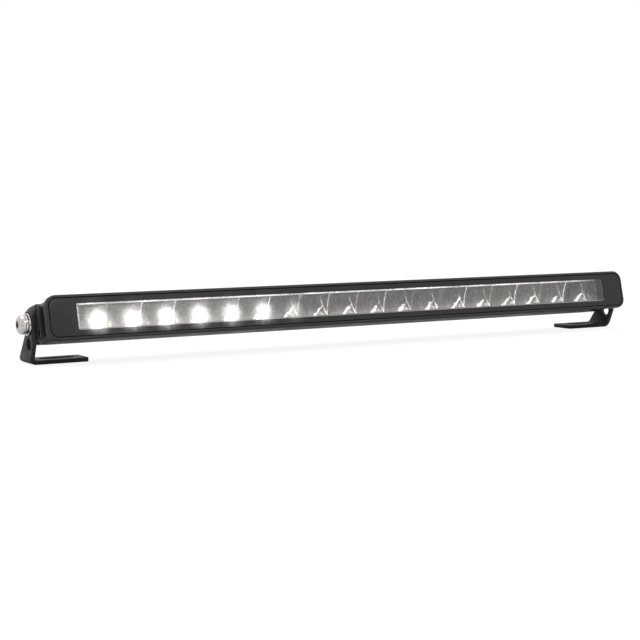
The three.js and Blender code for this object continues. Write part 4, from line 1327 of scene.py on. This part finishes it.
def add_gland():
    seat = GLAND_LOW.y
    base = BASE_BACK + SEAT_CLEARANCE
    hex_back = base + 3 * MM
    shoulder = hex_back + 0.6 * MM
    dome_radius = 5.8 * MM
    dome_round = 1.1 * MM
    mouth, mouth_depth = 3.2 * MM, 1.5 * MM
    tip = GLAND_HIGH.y
    hexagon = bmesh.new()
    outline = [(across, base, up) for across, up in circle(13 * MM / math.sqrt(3), 6)]
    prism(hexagon, outline, (0, hex_back - base, 0))
    nut = carved("gland_hexagon", hexagon, bevel=0.4 * MM)
    body = bmesh.new()
    profile = [(0, seat), (5 * MM, seat), (5 * MM, base + 0.5 * MM),
               (dome_radius, base + 0.5 * MM), (dome_radius, shoulder)]
    profile += arc(dome_radius - dome_round, shoulder, dome_round, tip - shoulder, 0, 90, 6)[1:]
    profile += [(mouth, tip), (mouth, tip - mouth_depth), (0, tip - mouth_depth)]
    lathe(body, profile, (0, 0, 0), (0, 1, 0), 40)
    dome = mesh_from("gland_dome", body)
    rib = bmesh.new()
    solid_block(rib, (-0.35 * MM, hex_back, 5.3 * MM), (0.35 * MM, tip - 1.2 * MM, 6.1 * MM))
    ridge = carved("gland_rib", rib, bevel=0.15 * MM)
    ribs = []
    for i in range(12):
        turned = ridge.copy()
        turned.transform(Matrix.Rotation(math.radians(30 * i), 4, "Y"))
        ribs.append(turned)
    mesh = merged([nut, dome] + ribs, "gland")
    mesh.transform(LAMP @ Matrix.Translation((GLAND_X, 0, 0)))
    finished_object("gland_body", mesh, "lamp", ["cable_gland"], NYLON, 35)


def add_vent():
    base = BASE_BACK + SEAT_CLEARANCE
    back = VENT_HIGH.y
    radius = 5 * MM
    edge = 0.8 * MM
    dish = back - 0.5 * MM
    body = bmesh.new()
    profile = [(0, VENT_LOW.y), (2.5 * MM, VENT_LOW.y), (2.5 * MM, base), (radius, base),
               (radius, back - edge)]
    profile += arc(radius - edge, back - edge, edge, edge, 0, 90, 5)[1:]
    profile += [(2.6 * MM, back), (2.4 * MM, dish), (0, dish)]
    lathe(body, profile, (0, 0, 0), (0, 1, 0), 40)
    bmesh.ops.remove_doubles(body, verts=body.verts, dist=TINY)
    slots = []
    for i in range(3):
        cut = bmesh.new()
        solid_block(cut, (-6 * MM, back - 1.6 * MM, -0.5 * MM), (6 * MM, back - MM, 0.5 * MM))
        turn = Matrix.Rotation(math.radians(60 * i), 4, "Y")
        bmesh.ops.transform(cut, matrix=turn, verts=cut.verts)
        slots.append(cut)
    mesh = carved("vent", body, slots)
    mesh.transform(LAMP @ Matrix.Translation((-GLAND_X, 0, 0)))
    finished_object("vent_cap", mesh, "lamp", ["breather_vent"], NYLON, 35)


# ------------------------------------------------------------------ CAD pieces that stay


def repaint(node, material):
    piece = frame["nodes"][node]
    piece.data.materials.clear()
    piece.data.materials.append(material)


def repaint_kept_nodes():
    finishes = {"led_board": WHITE_BOARD, "driver_board": GREEN_BOARD, "driver_coil": FERRITE,
                "driver_capacitor": SLEEVE, "gland_nut": NYLON}
    for node in ("lens_gasket", "body_gasket", "left_cap_gasket", "right_cap_gasket"):
        finishes[node] = RUBBER
    for node, material in finishes.items():
        repaint(node, material)


add_front_frame()
add_border()
add_lens()
for strip in range(CELLS // CELLS_PER_REFLECTOR):
    add_reflector(strip)
add_leds()
add_fins()
add_sink_body()
for side, label in ((-1, "left"), (1, "right")):
    add_end_cap(side, label)
    add_cap_screws(side, label)
    add_pivot(side, label)
    add_bracket(side, label)
add_gland()
add_vent()
repaint_kept_nodes()

# ------------------------------------------------------------------ studio

CAMERA_PLACE = Vector((-607.17, -978.47, 117.41)) * MM
CAMERA_YAW = math.radians(30.477)
CAMERA_DROP = math.radians(4.879)
CAMERA_ROLL = math.radians(-0.415)
CAMERA_LENS = 81.80


def add_camera():
    ahead = Vector((math.sin(CAMERA_YAW) * math.cos(CAMERA_DROP),
                    math.cos(CAMERA_YAW) * math.cos(CAMERA_DROP), -math.sin(CAMERA_DROP)))
    right = Vector((math.cos(CAMERA_YAW), -math.sin(CAMERA_YAW), 0))
    up = right.cross(ahead)
    rolled_right = right * math.cos(CAMERA_ROLL) + up * math.sin(CAMERA_ROLL)
    rolled_up = up * math.cos(CAMERA_ROLL) - right * math.sin(CAMERA_ROLL)
    turn = Matrix((rolled_right, rolled_up, -ahead)).transposed()
    camera = linked("camera", bpy.data.cameras.new("camera"))
    camera.data.sensor_width = 36
    camera.data.lens = CAMERA_LENS
    camera.data.clip_start = 0.01
    camera.data.clip_end = 50
    camera.matrix_world = Matrix.Translation(CAMERA_PLACE) @ turn.to_4x4()
    bpy.context.scene.camera = camera


def add_softbox(name, place, target, width, height, power):
    light = bpy.data.lights.new(name, "AREA")
    light.shape = "RECTANGLE"
    light.size = width
    light.size_y = height
    light.energy = power
    lamp = linked(name, light)
    lamp.location = place
    lamp.rotation_euler = (Vector(target) - Vector(place)).to_track_quat("-Z", "Y").to_euler()


def add_floor():
    bm = bmesh.new()
    bmesh.ops.create_grid(bm, x_segments=2, y_segments=2, size=6)
    floor = linked("floor", plain_mesh("floor", bm))
    material, nodes, shader, output, place = new_material("pale_floor")
    cloud = nodes.noise(place, 3.0, 3.0, 0.5)
    nodes.join(nodes.blend(cloud, (0.60, 0.60, 0.60, 1), (0.64, 0.64, 0.64, 1)),
               shader.inputs["Base Color"])
    shader.inputs["Roughness"].default_value = 0.9
    shader.inputs["Specular IOR Level"].default_value = 0.1
    glow = nodes.add("ShaderNodeEmission")
    glow.inputs["Strength"].default_value = 1.15
    path = nodes.add("ShaderNodeLightPath")
    mixed = nodes.add("ShaderNodeMixShader")
    nodes.join(nodes.math("MULTIPLY", path.outputs["Is Camera Ray"], 0.75), mixed.inputs["Fac"])
    nodes.join(shader.outputs[0], mixed.inputs[1])
    nodes.join(glow.outputs[0], mixed.inputs[2])
    nodes.join(mixed.outputs[0], output.inputs["Surface"])
    floor.data.materials.append(material)


def add_world(strength):
    world = bpy.data.worlds.new("studio")
    world.use_nodes = True
    background = world.node_tree.nodes["Background"]
    background.inputs["Color"].default_value = (1, 1, 1, 1)
    background.inputs["Strength"].default_value = strength
    bpy.context.scene.world = world
    bpy.context.scene.view_settings.view_transform = "Standard"


add_camera()
add_floor()
add_world(1.0)
add_softbox("top_softbox", (-0.5, 0.5, 1.6), (0, 0, 0), 1.6, 1.2, 14)
add_softbox("front_softbox", (0.9, -1.6, 1.3), (0, 0, 0), 1.2, 0.9, 10)
